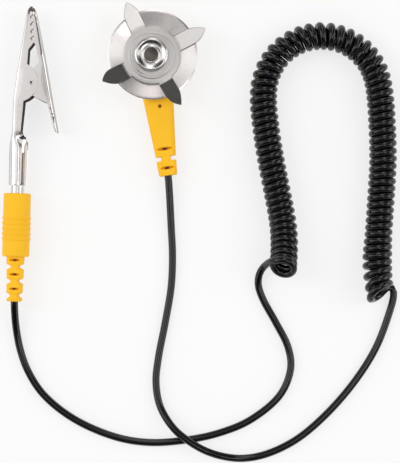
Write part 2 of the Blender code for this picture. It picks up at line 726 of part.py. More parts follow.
def build_stud_eyelet():
    """The hollow rivet: a head with a funnel, a tube, and a rolled end below the stud."""
    low = STUD_LOW_Z - SEAT_GAP
    top = EYELET_Z + EYELET_HEAD_HEIGHT
    roll_radius = EYELET_RADIUS + EYELET_ROLL
    roll_low = low - EYELET_ROLL_HEIGHT
    funnel = top - EYELET_FUNNEL_DEPTH
    lip = funnel + EYELET_LIP_HEIGHT
    shoulder = []
    for step in range(4):
        turn = math.pi / 2 * step / 3
        r = EYELET_CREST_RADIUS + (EYELET_HEAD_RADIUS - EYELET_CREST_RADIUS) * math.sin(turn)
        shoulder.append((r, EYELET_Z + 0.2 + (EYELET_HEAD_HEIGHT - 0.2) * math.cos(turn)))
    profile = [
        (EYELET_BORE_RADIUS, funnel),
        (EYELET_BORE_RADIUS + 0.15, lip),
        (EYELET_FUNNEL_RADIUS - 0.3, lip),
        (EYELET_FUNNEL_RADIUS, funnel),
        ((EYELET_FUNNEL_RADIUS + EYELET_CREST_RADIUS) / 2, funnel + 0.15),
        (EYELET_CREST_RADIUS - 0.4, top - 0.12),
        *shoulder,
        (EYELET_HEAD_RADIUS, EYELET_Z),
        (EYELET_RADIUS, EYELET_Z),
        (EYELET_RADIUS, low),
        (roll_radius, low),
        (roll_radius + 0.1, (low + roll_low) / 2),
        (roll_radius - 0.1, roll_low),
        (EYELET_RADIUS, roll_low),
        (EYELET_BORE_RADIUS, (low + roll_low) / 2),
    ]
    place(turned("stud_eyelet", profile, BRIGHT_STEEL, WIDE_FACET_COUNT), SNAP_FRAME)


def build_mat_disc():
    rim = DISC_Z + DISC_RISE
    profile = [
        (RIVET_HOLE_RADIUS, DISC_Z + DISC_THICKNESS),
        (DISC_FLAT_RADIUS, DISC_Z + DISC_THICKNESS),
        (DISC_RADIUS - 0.3, rim + DISC_THICKNESS),
        (DISC_RADIUS, rim + DISC_THICKNESS / 2),
        (DISC_RADIUS - 0.3, rim),
        (DISC_FLAT_RADIUS, DISC_Z),
        (RIVET_HOLE_RADIUS, DISC_Z),
    ]
    place(turned("mat_disc", profile, BRIGHT_STEEL, 40), SNAP_FRAME)


def blade_section(along, left, right, low):
    high = low + CLAW_THICKNESS
    return [(along, -right, low), (along, left, low), (along, left, high), (along, -right, high)]


def build_claw_plate():
    """A ring with a raised bead and four leaf-shaped blades that bend away from the disc."""
    top = CLAW_Z + CLAW_THICKNESS
    bead_in = CLAW_BEAD_RADIUS - CLAW_BEAD_WIDTH / 2
    bead_out = CLAW_BEAD_RADIUS + CLAW_BEAD_WIDTH / 2
    quarter = CLAW_BEAD_WIDTH / 4
    ring = [
        (RIVET_HOLE_RADIUS, top),
        (bead_in, top),
        (CLAW_BEAD_RADIUS - quarter, top + CLAW_BEAD_HEIGHT),
        (CLAW_BEAD_RADIUS + quarter, top + CLAW_BEAD_HEIGHT),
        (bead_out, top),
        (CLAW_RING_RADIUS, top),
        (CLAW_RING_RADIUS, CLAW_Z),
        (RIVET_HOLE_RADIUS, CLAW_Z),
    ]
    plate = place(turned("claw_plate", ring, BRIGHT_STEEL, WIDE_FACET_COUNT), SNAP_FRAME)
    blades = []
    root = bead_out + BLADE_ROOT_MARGIN
    bend_at = CLAW_RING_RADIUS - BLADE_ROOT_MARGIN
    for direction, reach, bend, left_width, right_width in BLADES:
        leaf_length = reach - BLADE_LEAF_START
        stations = [root, bend_at, (bend_at + BLADE_LEAF_START) / 2]
        stations += [BLADE_LEAF_START + leaf_length * share for share in (0, 0.3, 0.55, 0.8, 1)]
        tip = BLADE_TIP_HALF_WIDTH
        sections = []
        for along in stations:
            leaf = max(0.0, (along - BLADE_LEAF_START) / leaf_length)
            left = tip + (left_width - tip) * (1 - leaf**1.7)
            right = tip + (right_width - tip) * (1 - leaf**2.3)
            rise = max(0.0, along - bend_at) * math.tan(math.radians(bend))
            sections.append(blade_section(along, left, right, CLAW_Z + rise))
        blade = loft("blade", sections, None)
        turn = math.radians(direction - SNAP_STEM_HEADING)
        blades.append(place(blade, SNAP_FRAME, rotation=(0.0, 0.0, turn)))
    combine(plate, "UNION", blades)


# ---------------------------------------------------------------- banana plug


def build_plug_body():
    """The moulded grip, drawn from its front face at 0 back to the relief's tip."""
    rib_end = FIRST_RIB_AT + (RIB_COUNT - 1) * RIB_PITCH + RIB_PITCH
    edge = PLUG_EDGE
    grip = [(0.0, 0.0), (PLUG_RADIUS - edge, 0.0), (PLUG_RADIUS, -edge)]
    half_rib = RIB_PITCH * 0.3
    for rib in range(RIB_COUNT):
        centre = -(FIRST_RIB_AT + rib * RIB_PITCH)
        grip += [
            (PLUG_RADIUS, centre + half_rib + 0.15),
            (PLUG_RADIUS + RIB_HEIGHT, centre + half_rib - 0.15),
            (PLUG_RADIUS + RIB_HEIGHT, centre - half_rib + 0.15),
            (PLUG_RADIUS, centre - half_rib - 0.15),
        ]
    grip += [
        (PLUG_RADIUS, -rib_end),
        (PLUG_RADIUS, -PLUG_LENGTH + edge),
        (PLUG_RADIUS - edge, -PLUG_LENGTH),
        (0.0, -PLUG_LENGTH),
    ]
    body = place(turned("plug_body", grip, YELLOW, FACET_COUNT + 4), PLUG_FRAME, (0, 0, 0), ALONG)

    tip = PLUG_LENGTH + PLUG_RELIEF_LENGTH
    half_y, half_z = PLUG_RELIEF_WIDTH / 2, PLUG_RELIEF_HEIGHT / 2
    tip_half, corner, edge = PLUG_RELIEF_TIP_WIDTH / 2, PLUG_RELIEF_CORNER, MOULD_TIP_EDGE
    sections = [
        rounded_section(-PLUG_LENGTH + PLUG_RELIEF_ROOT, half_y, -half_z, half_z, corner),
        rounded_section(-FIRST_NOTCH_AT, half_y, -half_z, half_z, corner),
        rounded_section(-tip + edge, tip_half, -half_z, half_z, corner),
        rounded_section(-tip, tip_half - edge, edge - half_z, half_z - edge, corner - edge),
    ]
    relief = place(loft("plug_relief", sections, None), PLUG_FRAME)
    combine(body, "UNION", [relief])

    clear = SEAT_GAP
    half_anchor = PIN_ANCHOR_HALF_LENGTH + clear
    bore = [
        (0.0, CUT_PAST),
        (PIN_RADIUS + clear, CUT_PAST),
        (PIN_RADIUS + clear, -PIN_ANCHOR_AT + half_anchor),
        (PIN_ANCHOR_RADIUS + clear, -PIN_ANCHOR_AT + half_anchor),
        (PIN_ANCHOR_RADIUS + clear, -PIN_ANCHOR_AT - half_anchor),
        (PIN_RADIUS + clear, -PIN_ANCHOR_AT - half_anchor),
        (PIN_RADIUS + clear, -PIN_ROOT_DEPTH - clear),
        (CRIMP_RADIUS + clear, -PIN_ROOT_DEPTH - clear),
        (CRIMP_RADIUS + clear, -CORD_START_IN_PLUG + clear),
        (CORD_BORE_RADIUS, -CORD_START_IN_PLUG + clear),
        (CORD_BORE_RADIUS, -tip - CUT_PAST),
        (0.0, -tip - CUT_PAST),
    ]
    cutters = [place(turned("plug_bore", bore, None), PLUG_FRAME, (0, 0, 0), ALONG)]
    reach = PLUG_RELIEF_WIDTH
    half_length, half_width = PLUG_SLOT_LENGTH / 2, PLUG_SLOT_WIDTH / 2
    slot_at = FIRST_NOTCH_AT - PLUG_RELIEF_PITCH / 2
    for step in range(NOTCH_COUNT):
        along = -(slot_at + step * PLUG_RELIEF_PITCH)
        slot = post("plug_slot", (along, 0.0), half_length, half_width, -reach, reach, 16)
        cutters.append(place(slot, PLUG_FRAME))
        centre = -(FIRST_NOTCH_AT + step * PLUG_RELIEF_PITCH)
        for side in (-1, 1):
            edges = sorted((side * PLUG_RELIEF_NECK / 2, side * PLUG_RELIEF_WIDTH))
            low = (centre - PLUG_RELIEF_NOTCH / 2, edges[0], -reach)
            high = (centre + PLUG_RELIEF_NOTCH / 2, edges[1], reach)
            cutters.append(place(box("plug_notch", low, high), PLUG_FRAME))
    combine(body, "DIFFERENCE", cutters)


def build_plug_pin():
    """The turned pin: crimp barrel, anchor flange, bare collar, core and riveted head."""
    core_start = PIN_BARE_LENGTH
    head_start = PIN_LENGTH - PIN_HEAD_LENGTH
    crimp_bore = CONDUCTOR_DIAMETER / 2 + SEAT_GAP
    bore_depth = PIN_ROOT_DEPTH + CRIMP_BORE_OVERLAP
    half_anchor = PIN_ANCHOR_HALF_LENGTH
    profile = [
        (0.0, PIN_LENGTH),
        (PIN_HEAD_RADIUS - 0.5, PIN_LENGTH),
        (PIN_HEAD_RADIUS, PIN_LENGTH - 0.4),
        (PIN_HEAD_RADIUS, head_start),
        (PIN_CORE_RADIUS, head_start),
        (PIN_CORE_RADIUS, core_start),
        (PIN_RADIUS, core_start),
        (PIN_RADIUS, -PIN_ANCHOR_AT + half_anchor),
        (PIN_ANCHOR_RADIUS, -PIN_ANCHOR_AT + half_anchor),
        (PIN_ANCHOR_RADIUS, -PIN_ANCHOR_AT - half_anchor),
        (PIN_RADIUS, -PIN_ANCHOR_AT - half_anchor),
        (PIN_RADIUS, -PIN_ROOT_DEPTH),
        (CRIMP_RADIUS, -PIN_ROOT_DEPTH),
        (CRIMP_RADIUS, -CRIMP_DEPTH),
        (crimp_bore, -CRIMP_DEPTH),
        (crimp_bore, -bore_depth),
        (0.0, -bore_depth),
    ]
    place(turned("plug_pin", profile, NICKEL), PLUG_FRAME, (0, 0, 0), ALONG)
    stop = -bore_depth - SEAT_GAP
    start = -CORD_START_IN_PLUG + SEAT_GAP
    build_rod("conductor_plug_end", start, stop, CONDUCTOR_DIAMETER / 2, PLUG_FRAME)


def build_pin_spring_cage():
    """The lantern spring: six bowed leaves between two collars that turn on the pin's core."""
    start = PIN_BARE_LENGTH + SEAT_GAP
    stop = PIN_LENGTH - PIN_HEAD_LENGTH - SEAT_GAP
    inner = PIN_CORE_RADIUS + RUNNING_GAP
    bow_start, bow_stop = start + CAGE_COLLAR_LENGTH, stop - CAGE_COLLAR_LENGTH
    outside = [(inner + CAGE_SHEET, stop)]
    inside = [(inner, stop)]
    for step in range(CAGE_STEPS + 1):
        share = step / CAGE_STEPS
        bow = math.sin(math.pi * share) ** 0.7 if 0 < step < CAGE_STEPS else 0.0
        along = bow_stop + (bow_start - bow_stop) * share
        rise = (CAGE_RADIUS - inner - CAGE_SHEET) * bow
        outside.append((inner + CAGE_SHEET + rise, along))
        inside.append((inner + rise, along))
    outside.append((inner + CAGE_SHEET, start))
    inside.append((inner, start))
    profile = outside + inside[::-1]
    cage = turned("pin_spring_cage", profile, SPRING_STEEL)
    place(cage, PLUG_FRAME, (0, 0, 0), ALONG)
    slots = []
    half = CAGE_SLOT_WIDTH / 2
    for step in range(CAGE_SLOTS // 2):
        low = (bow_start + 0.2, -half, -CAGE_RADIUS - CUT_PAST)
        high = (bow_stop - 0.2, half, CAGE_RADIUS + CUT_PAST)
        turn = math.pi * step / (CAGE_SLOTS // 2) + math.pi / 12
        slots.append(place(box("cage_slot", low, high), PLUG_FRAME, rotation=(turn, 0, 0)))
    combine(cage, "DIFFERENCE", slots)


# ---------------------------------------------------------------- crocodile clip


def clip_point(along, side, up):
    """From the clip's own measures to its frame: the lever's side is the frame's -Y side."""
    return (along, -side, up)


WALL_POINTS = 3
FOLD_POINTS = 3
BACK_POINTS = 3


def channel_path(back, edge, half_width, fold):
    """A folded sheet's section: down one wall, across the back, up the other wall.

    back and edge are sideways places, and back may lie on either side of edge.
    """
    inward = 1 if edge > back else -1
    wall = [(edge + (back + inward * fold - edge) * i / (WALL_POINTS - 1), half_width)
            for i in range(WALL_POINTS)]
    corner = []
    for i in range(1, FOLD_POINTS + 1):
        angle = math.radians(90.0 * i / (FOLD_POINTS + 1))
        corner.append((back + inward * fold * (1 - math.sin(angle)),
                       half_width - fold * (1 - math.cos(angle))))
    half = wall + corner
    flat = half_width - fold
    across = [(back, flat * (1 - 2 * i / (BACK_POINTS - 1))) for i in range(BACK_POINTS)]
    return half + across + [(side, -up) for side, up in half[::-1]]


def barrel_path(radius):
    """The same number of points round a rolled barrel, open at a seam on the lever's side."""
    count = 2 * (WALL_POINTS + FOLD_POINTS) + BACK_POINTS
    seam = math.radians(BARREL_SEAM_ANGLE)
    path = []
    for i in range(count):
        angle = seam + (math.tau - 2 * seam) * i / (count - 1)
        path.append((radius * math.cos(angle), radius * math.sin(angle)))
    return path


def sheet_section(along, outer, inner):
    points = outer + inner[::-1]
    return [clip_point(along, side, up) for side, up in points]


def blend(a, b, share):
    return [tuple(p + (q - p) * share for p, q in zip(one, two)) for one, two in zip(a, b)]


def read_line(points, along):
    """Reads a side profile given as (along, side) points."""
    return float(np.interp(along, [p[0] for p in points], [p[1] for p in points]))


FIXED_BACK = [(13.1, -2.66), (18.8, -1.79), (28.2, -1.72), (54.2, 1.4), (55.3, 1.8), (55.9, 2.3)]
FIXED_EDGE = [
    (14.0, 2.5), (16.6, 2.05), (17.3, 1.35), (18.8, 0.78), (27.6, 1.47), (28.5, 3.1),
    (29.6, 4.4), (31.2, 5.25), (33.4, 5.6), (35.6, 5.3), (37.2, 4.5), (38.3, 3.2), (38.8, 2.2),
    (43.3, 2.4),
]
LEVER_BACK = [(19.0, 11.7), (27.3, 10.0), (37.3, 8.0), (54.2, 4.45), (55.3, 3.9), (55.9, 3.3)]
LEVER_EDGE = [
    (19.0, 10.9), (27.3, 8.5), (28.3, 6.3), (29.3, 4.2), (30.4, 2.5), (31.8, 1.5), (33.3, 1.2),
    (34.8, 1.5), (36.2, 2.5), (37.7, 4.1), (38.7, 5.1), (39.7, 5.7), (44.2, 4.6),
]
WIDTH_LINE = [
    (13.1, 2.7), (18.8, 3.0), (27.0, JAW_HALF_WIDTH), (37.0, JAW_HALF_WIDTH),
    (54.2, JAW_TIP_HALF_WIDTH), (55.9, JAW_TIP_HALF_WIDTH - 0.5),
]


def teeth_line():
    """Peaks and roots of the meshing edges, from the window to the tip."""
    points = []
    steps = 2 * TOOTH_COUNT
    for step in range(steps + 1):
        share = step / steps
        line = TOOTH_LINE_START + (TOOTH_LINE_END - TOOTH_LINE_START) * share
        swing = TOOTH_DEPTH / 2 if step % 2 == 0 else -TOOTH_DEPTH / 2
        points.append((FIRST_TOOTH_AT + step * TOOTH_PITCH / 2, line + swing))
    return points


def jaw_sections(back_line, edge_line, half_width_at, edge_shift):
    """One section at every place where the back, the edge or the teeth change."""
    edge = edge_line + [(along, side + edge_shift) for along, side in teeth_line()]
    tip_edge = TOOTH_LINE_END + edge_shift
    edge += [(55.3, tip_edge), (55.9, tip_edge)]
    sections = []
    stations = sorted({p[0] for p in edge} | {p[0] for p in back_line if p[0] >= edge[0][0]})
    for along in stations:
        back = read_line(back_line, along)
        half = half_width_at(along)
        side = read_line(edge, along)
        inward = 1 if side > back else -1
        fold = min(JAW_FOLD_RADIUS, 0.7 * abs(side - back))
        outer = channel_path(back, side, half, fold)
        thin = min(CLIP_SHEET, 0.5 * abs(side - back))
        inner_fold = max(0.1, fold - thin)
        inner = channel_path(back + inward * thin, side, half - CLIP_SHEET, inner_fold)
        sections.append((along, outer, inner))
    return sections


def fixed_half_width(along):
    return read_line(WIDTH_LINE, along)


def lever_half_width(along):
    """The lever's ears run inside the fixed jaw's ears, and its nose is as wide as the jaw's."""
    inside = JAW_HALF_WIDTH - CLIP_SHEET - RUNNING_GAP
    return min(inside, read_line(WIDTH_LINE, along)) if along > 30 else inside


def build_fixed_jaw():
    """One folded sheet: the barrel on the plug, the thumb rest, the ears and the lower teeth."""
    sections = jaw_sections(FIXED_BACK, FIXED_EDGE, fixed_half_width, 0.0)
    rings = []
    for along, radius in ((BARREL_START, BARREL_MOUTH_RADIUS), (BARREL_END, BARREL_RADIUS)):
        outer, inner = barrel_path(radius), barrel_path(radius - CLIP_SHEET)
        rings.append(sheet_section(along, outer, inner))
    for along, out_path, in_path in sections:
        share = min(1.0, (along - BARREL_END) / (CHANNEL_START - BARREL_END))
        eased = share * share * (3 - 2 * share)
        out_path = blend(outer, out_path, eased)
        in_path = blend(inner, in_path, eased)
        rings.append(sheet_section(along, out_path, in_path))
    jaw = place(loft("clip_fixed_jaw", rings, NICKEL), PLUG_FRAME)
    hole_radius = RIVET_RADIUS + RUNNING_GAP
    at = (PIVOT_ALONG, -PIVOT_SIDE)
    reach = JAW_HALF_WIDTH + CUT_PAST
    hole = post("fixed_ear_hole", at, hole_radius, hole_radius, -reach, reach)
    place(hole, PLUG_FRAME)
    combine(jaw, "DIFFERENCE", [hole])


def build_lever_jaw():
    """The pressed lever: a thumb tail, ears inside the fixed ears, and the upper teeth."""
    sections = jaw_sections(LEVER_BACK, LEVER_EDGE, lever_half_width, JAW_MESH_GAP)
    rings = [sheet_section(*section) for section in sections]
    lever = loft("clip_lever_jaw", rings, NICKEL)
    hinge = place(bpy.data.objects.new("jaw_hinge", None), PLUG_FRAME)
    hinge.location = Vector((PIVOT_ALONG, -PIVOT_SIDE, 0.0)) * MM
    PIECES.objects.link(hinge)
    to_hinge = (-PIVOT_ALONG, PIVOT_SIDE, 0.0)
    lever.data.transform(Matrix.Translation(Vector(to_hinge) * MM))
    place(lever, hinge)
    hole_radius = RIVET_RADIUS + RUNNING_GAP
    reach = JAW_HALF_WIDTH + CUT_PAST
    hole = place(post("lever_ear_hole", (0, 0), hole_radius, hole_radius, -reach, reach), hinge)
    slot_at = (TAIL_SLOT_ALONG - PIVOT_ALONG, PIVOT_SIDE - TAIL_SLOT_SIDE, 0.0)
    half_length, half_width = TAIL_SLOT_LENGTH / 2, TAIL_SLOT_WIDTH / 2
    slot = post("tail_slot", (0, 0), half_length, half_width, -reach, reach, 12)
    place(slot, hinge, slot_at, (0.0, 0.0, math.radians(TAIL_SLOT_HEADING)))
    combine(lever, "DIFFERENCE", [hole, slot])


def build_clip_rivet():
    """The tubular rivet through both pairs of ears, dimpled at both heads."""
    shoulder = JAW_HALF_WIDTH + 0.1
    end = shoulder + RIVET_HEAD_LENGTH
    upper = [
        (0.0, end - RIVET_DIMPLE_DEPTH),
        (RIVET_DIMPLE_RADIUS, end - RIVET_DIMPLE_DEPTH),
        (RIVET_DIMPLE_RADIUS, end),
        (RIVET_HEAD_RADIUS - 0.15, end),
        (RIVET_HEAD_RADIUS, end - 0.15),
        (RIVET_HEAD_RADIUS, shoulder),
        (RIVET_RADIUS, shoulder),
    ]
    profile = upper + [(r, -z) for r, z in upper[::-1]]
    rivet = turned("clip_rivet", profile, BRIGHT_STEEL, 16)
    place(rivet, PLUG_FRAME, (PIVOT_ALONG, -PIVOT_SIDE, 0.0))


def handle_rest(back_line, along, up, inward):
    """The place beside the pivot where a spring leg's end lies on the inside of a handle."""
    depth = CLIP_SHEET + SPRING_WIRE_DIAMETER / 2 + SEAT_GAP
    side = read_line(back_line, along) + inward * depth
    return (along - PIVOT_ALONG, PIVOT_SIDE - side, up)


def leave_angle(point, turning):
    """Where a straight leg to a point leaves the coil."""
    bearing = math.atan2(point[1], point[0])
    reach = math.acos(SPRING_RADIUS / math.hypot(point[0], point[1]))
    return bearing + turning * reach


def build_clip_spring():
    """The torsion spring: turns round the rivet and a straight leg into each handle."""
    fixed_rest = handle_rest(FIXED_BACK, SPRING_LEGS_END, 0.0, 1)
    lever_rest = handle_rest(LEVER_BACK, SPRING_LEGS_END, 0.0, -1)
    start = leave_angle(fixed_rest, -1)
    stop = leave_angle(lever_rest, 1)
    while stop > start - math.tau * SPRING_WHOLE_TURNS:
        stop -= math.tau
    turns = (start - stop) / math.tau
    half = SPRING_PITCH * turns / 2
    count = round(turns * SPRING_POINTS_PER_TURN)
    coil = []
    for step in range(count + 1):
        share = step / count
        angle = start + (stop - start) * share
        x, y = SPRING_RADIUS * math.cos(angle), SPRING_RADIUS * math.sin(angle)
        coil.append((x, y, half * (2 * share - 1)))
    points = [(*fixed_rest[:2], -half), *coil, (*lever_rest[:2], half)]
    gap = least_gap_to_itself(points, SPRING_WIRE_DIAMETER, SPRING_POINTS_PER_TURN // 2)
    print(f"clip spring: {turns:.1f} turns, least gap to itself {gap:.3f} mm")
    spring = tube("clip_spring", points, SPRING_WIRE_DIAMETER / 2, SPRING_STEEL, 1)
    place(spring, PLUG_FRAME, (PIVOT_ALONG, -PIVOT_SIDE, 0.0))


# ---------------------------------------------------------------- the cord


def coil_centreline():
    arch = []
    for step in range(ARCH_STEPS + 1):
        angle = math.pi * (1 - step / ARCH_STEPS)
        x = ARCH_CENTRE_X + ARCH_RADIUS * math.cos(angle)
        y = ARCH_CENTRE_Y + ARCH_RADIUS * math.sin(angle)
        arch.append((x, y, COIL_Z))
    line = smooth_route(LEFT_LEG + arch + RIGHT_LEG, COIL_STEP)
    reach = COIL_EASING_COUNT // 2
    before = line[0] + np.arange(-reach, 0)[:, None] * (line[1] - line[0])
    after = line[-1] + np.arange(1, reach + 1)[:, None] * (line[-1] - line[-2])
    longer = np.vstack([before, line, after])
    window = np.ones(COIL_EASING_COUNT) / COIL_EASING_COUNT
    return np.column_stack([np.convolve(column, window, mode="valid") for column in longer.T])


def coil_points():
    """The curly cord's helix about its centreline, with a straight run at each end.

    The curls are spread so that their inner sides keep one spacing: they fan out over
    the arch, and the last curls at each end stand a little open.
    """
    centre = coil_centreline()
    ahead = unit(np.gradient(centre, axis=0))
    turning = np.linalg.norm(np.gradient(ahead, axis=0), axis=1) / COIL_STEP
    from_end = COIL_STEP * np.minimum(np.arange(len(centre)), np.arange(len(centre))[::-1])
    opening = 1.0 - COIL_END_OPENING * np.exp(-from_end / COIL_END_LENGTH)
    density = opening * (1.0 - turning * COIL_RADIUS)
    turned_so_far = np.concatenate([[0.0], np.cumsum((density[1:] + density[:-1]) / 2)])
    turned_so_far *= COIL_TURNS / turned_so_far[-1]

    def helix(turns):
        index = np.interp(turns, turned_so_far, np.arange(len(centre)))
        every = np.arange(len(centre))
        at = np.column_stack([np.interp(index, every, column) for column in centre.T])
        axis = unit(np.column_stack([np.interp(index, every, column) for column in ahead.T]))
        right = unit(np.cross(axis, (0.0, 0.0, 1.0)))
        up = np.cross(right, axis)
        phase = math.radians(COIL_START_PHASE) + math.tau * turns[:, None]
        return at + COIL_RADIUS * (np.sin(phase) * right + np.cos(phase) * up)

    wanted = np.linspace(0.0, COIL_TURNS, round(COIL_TURNS * COIL_POINTS_PER_TURN) + 1)
    points = helix(wanted)
    nearby = helix(np.array([0.01, COIL_TURNS - 0.01]))
    first = points[0] + COIL_END_RUN * unit(points[0] - nearby[0])
    last = points[-1] + COIL_END_RUN * unit(points[-1] - nearby[1])
    return np.vstack([first, points, last])


def build_curly_cord(points):
    gap = least_gap_to_itself(points, CORD_DIAMETER, COIL_POINTS_PER_TURN // 2)
    print(f"curly cord: {COIL_TURNS:.1f} curls, least gap to itself {gap:.3f} mm")
    if gap <= COIL_LEAST_GAP:
        print("curly cord: the curls are closer than they should be")
    tube("curly_cord", points, CORD_DIAMETER / 2, BLACK_CORD, 1)


def frame_point(frame, along, side, up):
    origin = Vector(frame.location) / MM
    turn = Matrix.Rotation(frame.rotation_euler.z, 3, "Z")
    return tuple(origin + turn @ Vector((along, side, up)))


def build_lead(name, start, inside_end, route, coil_end, coil_next):
    """A lead from inside its strain relief to a square joint with the curly cord."""
    out = unit(np.array(coil_end) - np.array(coil_next))
    joint = np.array(coil_end) + CORD_JOINT_GAP * out
    before_joint = joint + CORD_DIAMETER / 2 * out
    through = [inside_end, *route, tuple(before_joint)]
    free = smooth_route(through, CORD_POINT_SPACING, CORD_BEND_WEIGHT)
    points = [start, *map(tuple, free), tuple(joint)]
    tube(name, points, CORD_DIAMETER / 2, BLACK_CORD, 2)


def build_cord():
    coil = coil_points()
    build_curly_cord(coil)
    snap_start = frame_point(SNAP_FRAME, CORD_START_IN_STEM, 0.0, STEM_AXIS_Z)
    snap_exit = frame_point(SNAP_FRAME, STEM_LENGTH, 0.0, STEM_AXIS_Z)
    build_lead("cord_lead_snap", snap_start, snap_exit, SNAP_LEAD_ROUTE, coil[-1], coil[-2])
    plug_start = frame_point(PLUG_FRAME, -CORD_START_IN_PLUG, 0.0, 0.0)
    plug_exit = frame_point(PLUG_FRAME, -PLUG_LENGTH - PLUG_RELIEF_LENGTH, 0.0, 0.0)
    build_lead("cord_lead_plug", plug_start, plug_exit, PLUG_LEAD_ROUTE, coil[0], coil[1])


# ---------------------------------------------------------------- build

build_snap_housing()
build_snap_socket()
build_socket_terminal()
build_resistor()
build_ring_spring()
build_snap_stud()
build_stud_eyelet()
build_mat_disc()
build_claw_plate()
build_plug_body()
build_plug_pin()
build_pin_spring_cage()
build_fixed_jaw()
build_lever_jaw()
build_clip_rivet()
build_clip_spring()
build_cord()
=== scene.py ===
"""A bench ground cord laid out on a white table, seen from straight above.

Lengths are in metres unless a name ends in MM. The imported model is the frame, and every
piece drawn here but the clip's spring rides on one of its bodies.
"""

import math

import bmesh
import bpy
import numpy as np
from mathutils import Matrix, Vector


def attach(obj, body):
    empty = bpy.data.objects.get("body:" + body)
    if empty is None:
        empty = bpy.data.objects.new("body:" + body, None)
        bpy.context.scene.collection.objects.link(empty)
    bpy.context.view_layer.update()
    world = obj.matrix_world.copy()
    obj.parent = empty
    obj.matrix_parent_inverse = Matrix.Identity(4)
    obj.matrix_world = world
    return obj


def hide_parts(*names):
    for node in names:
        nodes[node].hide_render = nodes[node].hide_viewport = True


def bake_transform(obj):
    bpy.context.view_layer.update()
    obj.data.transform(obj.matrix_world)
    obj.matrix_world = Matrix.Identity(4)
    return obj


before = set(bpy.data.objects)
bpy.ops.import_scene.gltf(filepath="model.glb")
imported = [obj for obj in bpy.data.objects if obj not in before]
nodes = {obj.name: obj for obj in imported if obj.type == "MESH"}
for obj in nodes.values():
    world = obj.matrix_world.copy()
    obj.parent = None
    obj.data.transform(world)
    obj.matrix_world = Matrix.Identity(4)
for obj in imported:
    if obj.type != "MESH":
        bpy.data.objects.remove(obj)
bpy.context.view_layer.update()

MM = 0.001

# ---------------------------------------------------------------- camera
# The photograph is taken from straight above the middle of the laid-out cord, with a long
# lens, so the near side of each piece shows only slightly larger than its foot.

VIEW_CENTRE_MM = (14.6, -53.0)
VIEW_HEIGHT_MM = 139.8
FOCUS_PLANE_MM = 4.3
CAMERA_DISTANCE_MM = 450.0

camera_data = bpy.data.cameras.new("camera")
camera = bpy.data.objects.new("camera", camera_data)
bpy.context.scene.collection.objects.link(camera)
camera.location = (
    VIEW_CENTRE_MM[0] * MM,
    VIEW_CENTRE_MM[1] * MM,
    (CAMERA_DISTANCE_MM + FOCUS_PLANE_MM) * MM,
)
camera_data.sensor_width = 36.0
camera_data.lens = camera_data.sensor_width * CAMERA_DISTANCE_MM / VIEW_HEIGHT_MM
bpy.context.scene.camera = camera
bpy.context.scene.view_settings.view_transform = "Standard"

# ---------------------------------------------------------------- table, lamps and room
# A white sweep that the camera sees as nearly plain white, with some of the object's soft
# shadow kept. Two softboxes stand left and right. A tent round the table, which only
# reflections see, holds the bright panels and the dark gaps that draw the metal's bands.

FLOOR_HALF = 3.0
FLOOR_DROP = 0.00002
FLOOR_SHARE_LIT = 0.3


def link(obj):
    bpy.context.scene.collection.objects.link(obj)
    return obj


def node_maker(tree):
    """A helper that adds a node to a tree, then sets or links its inputs."""

    def add(kind, values=None, **settings):
        node = tree.nodes.new(kind)
        for key, value in settings.items():
            setattr(node, key, value)
        for key, value in (values or {}).items():
            if isinstance(value, bpy.types.NodeSocket):
                tree.links.new(value, node.inputs[key])
            else:
                node.inputs[key].default_value = value
        return node

    return add


def new_material(name):
    """A material, with its nodes, its Principled shader and a helper that adds a node."""
    material = bpy.data.materials.new(name)
    material.use_nodes = True
    tree = material.node_tree
    return material, tree, tree.nodes["Principled BSDF"], node_maker(tree)


floor_mesh = bpy.data.meshes.new("table_top")
floor_shape = bmesh.new()
bmesh.ops.create_grid(floor_shape, x_segments=1, y_segments=1, size=FLOOR_HALF)
floor_shape.to_mesh(floor_mesh)
floor_shape.free()
floor = link(bpy.data.objects.new("table_top", floor_mesh))
floor.location = (0.0, 0.0, -FLOOR_DROP)

floor_material, tree, shader, add = new_material("white_sweep")
shader.inputs["Base Color"].default_value = (0.9, 0.9, 0.9, 1.0)
shader.inputs["Roughness"].default_value = 0.9
shader.inputs["Specular IOR Level"].default_value = 0.1
path = add("ShaderNodeLightPath")
seen = add("ShaderNodeMath", {0: path.outputs["Is Camera Ray"], 1: path.outputs["Is Glossy Ray"]},
           operation="ADD")
seen = add("ShaderNodeMath", {0: seen.outputs[0], 1: path.outputs["Is Transmission Ray"]},
           operation="ADD", use_clamp=True)
share = add("ShaderNodeMath", {0: seen.outputs[0], 1: 1.0 - FLOOR_SHARE_LIT}, operation="MULTIPLY")
white = add("ShaderNodeEmission", {"Color": (1.0, 1.0, 1.0, 1.0), "Strength": 1.0})
mixed = add("ShaderNodeMixShader", {0: share.outputs[0], 1: shader.outputs[0], 2: white.outputs[0]})
tree.links.new(mixed.outputs[0], tree.nodes["Material Output"].inputs["Surface"])
floor_mesh.materials.append(floor_material)

world = bpy.data.worlds.new("room")
bpy.context.scene.world = world
world.use_nodes = True
ROOM_LEVEL = 0.74
world.node_tree.nodes["Background"].inputs["Color"].default_value = (1.0, 1.0, 1.0, 1.0)
world.node_tree.nodes["Background"].inputs["Strength"].default_value = ROOM_LEVEL


def softbox(name, place, size, power):
    """A soft lamp aimed at the cord. The tent's panels stand for it in reflections."""
    lamp = bpy.data.lights.new(name, "AREA")
    lamp.shape = "RECTANGLE"
    lamp.size, lamp.size_y = size
    lamp.energy = power
    obj = link(bpy.data.objects.new(name, lamp))
    obj.location = place
    aim = Vector((VIEW_CENTRE_MM[0] * MM, VIEW_CENTRE_MM[1] * MM, 0.0)) - obj.location
    obj.rotation_euler = aim.to_track_quat("-Z", "Y").to_euler()
    obj.visible_camera = False
    obj.visible_glossy = False


softbox("left_softbox", (-0.62, 0.1, 0.62), (0.35, 0.6), 2.0)
softbox("right_softbox", (0.68, 0.05, 0.55), (0.35, 0.6), 1.5)

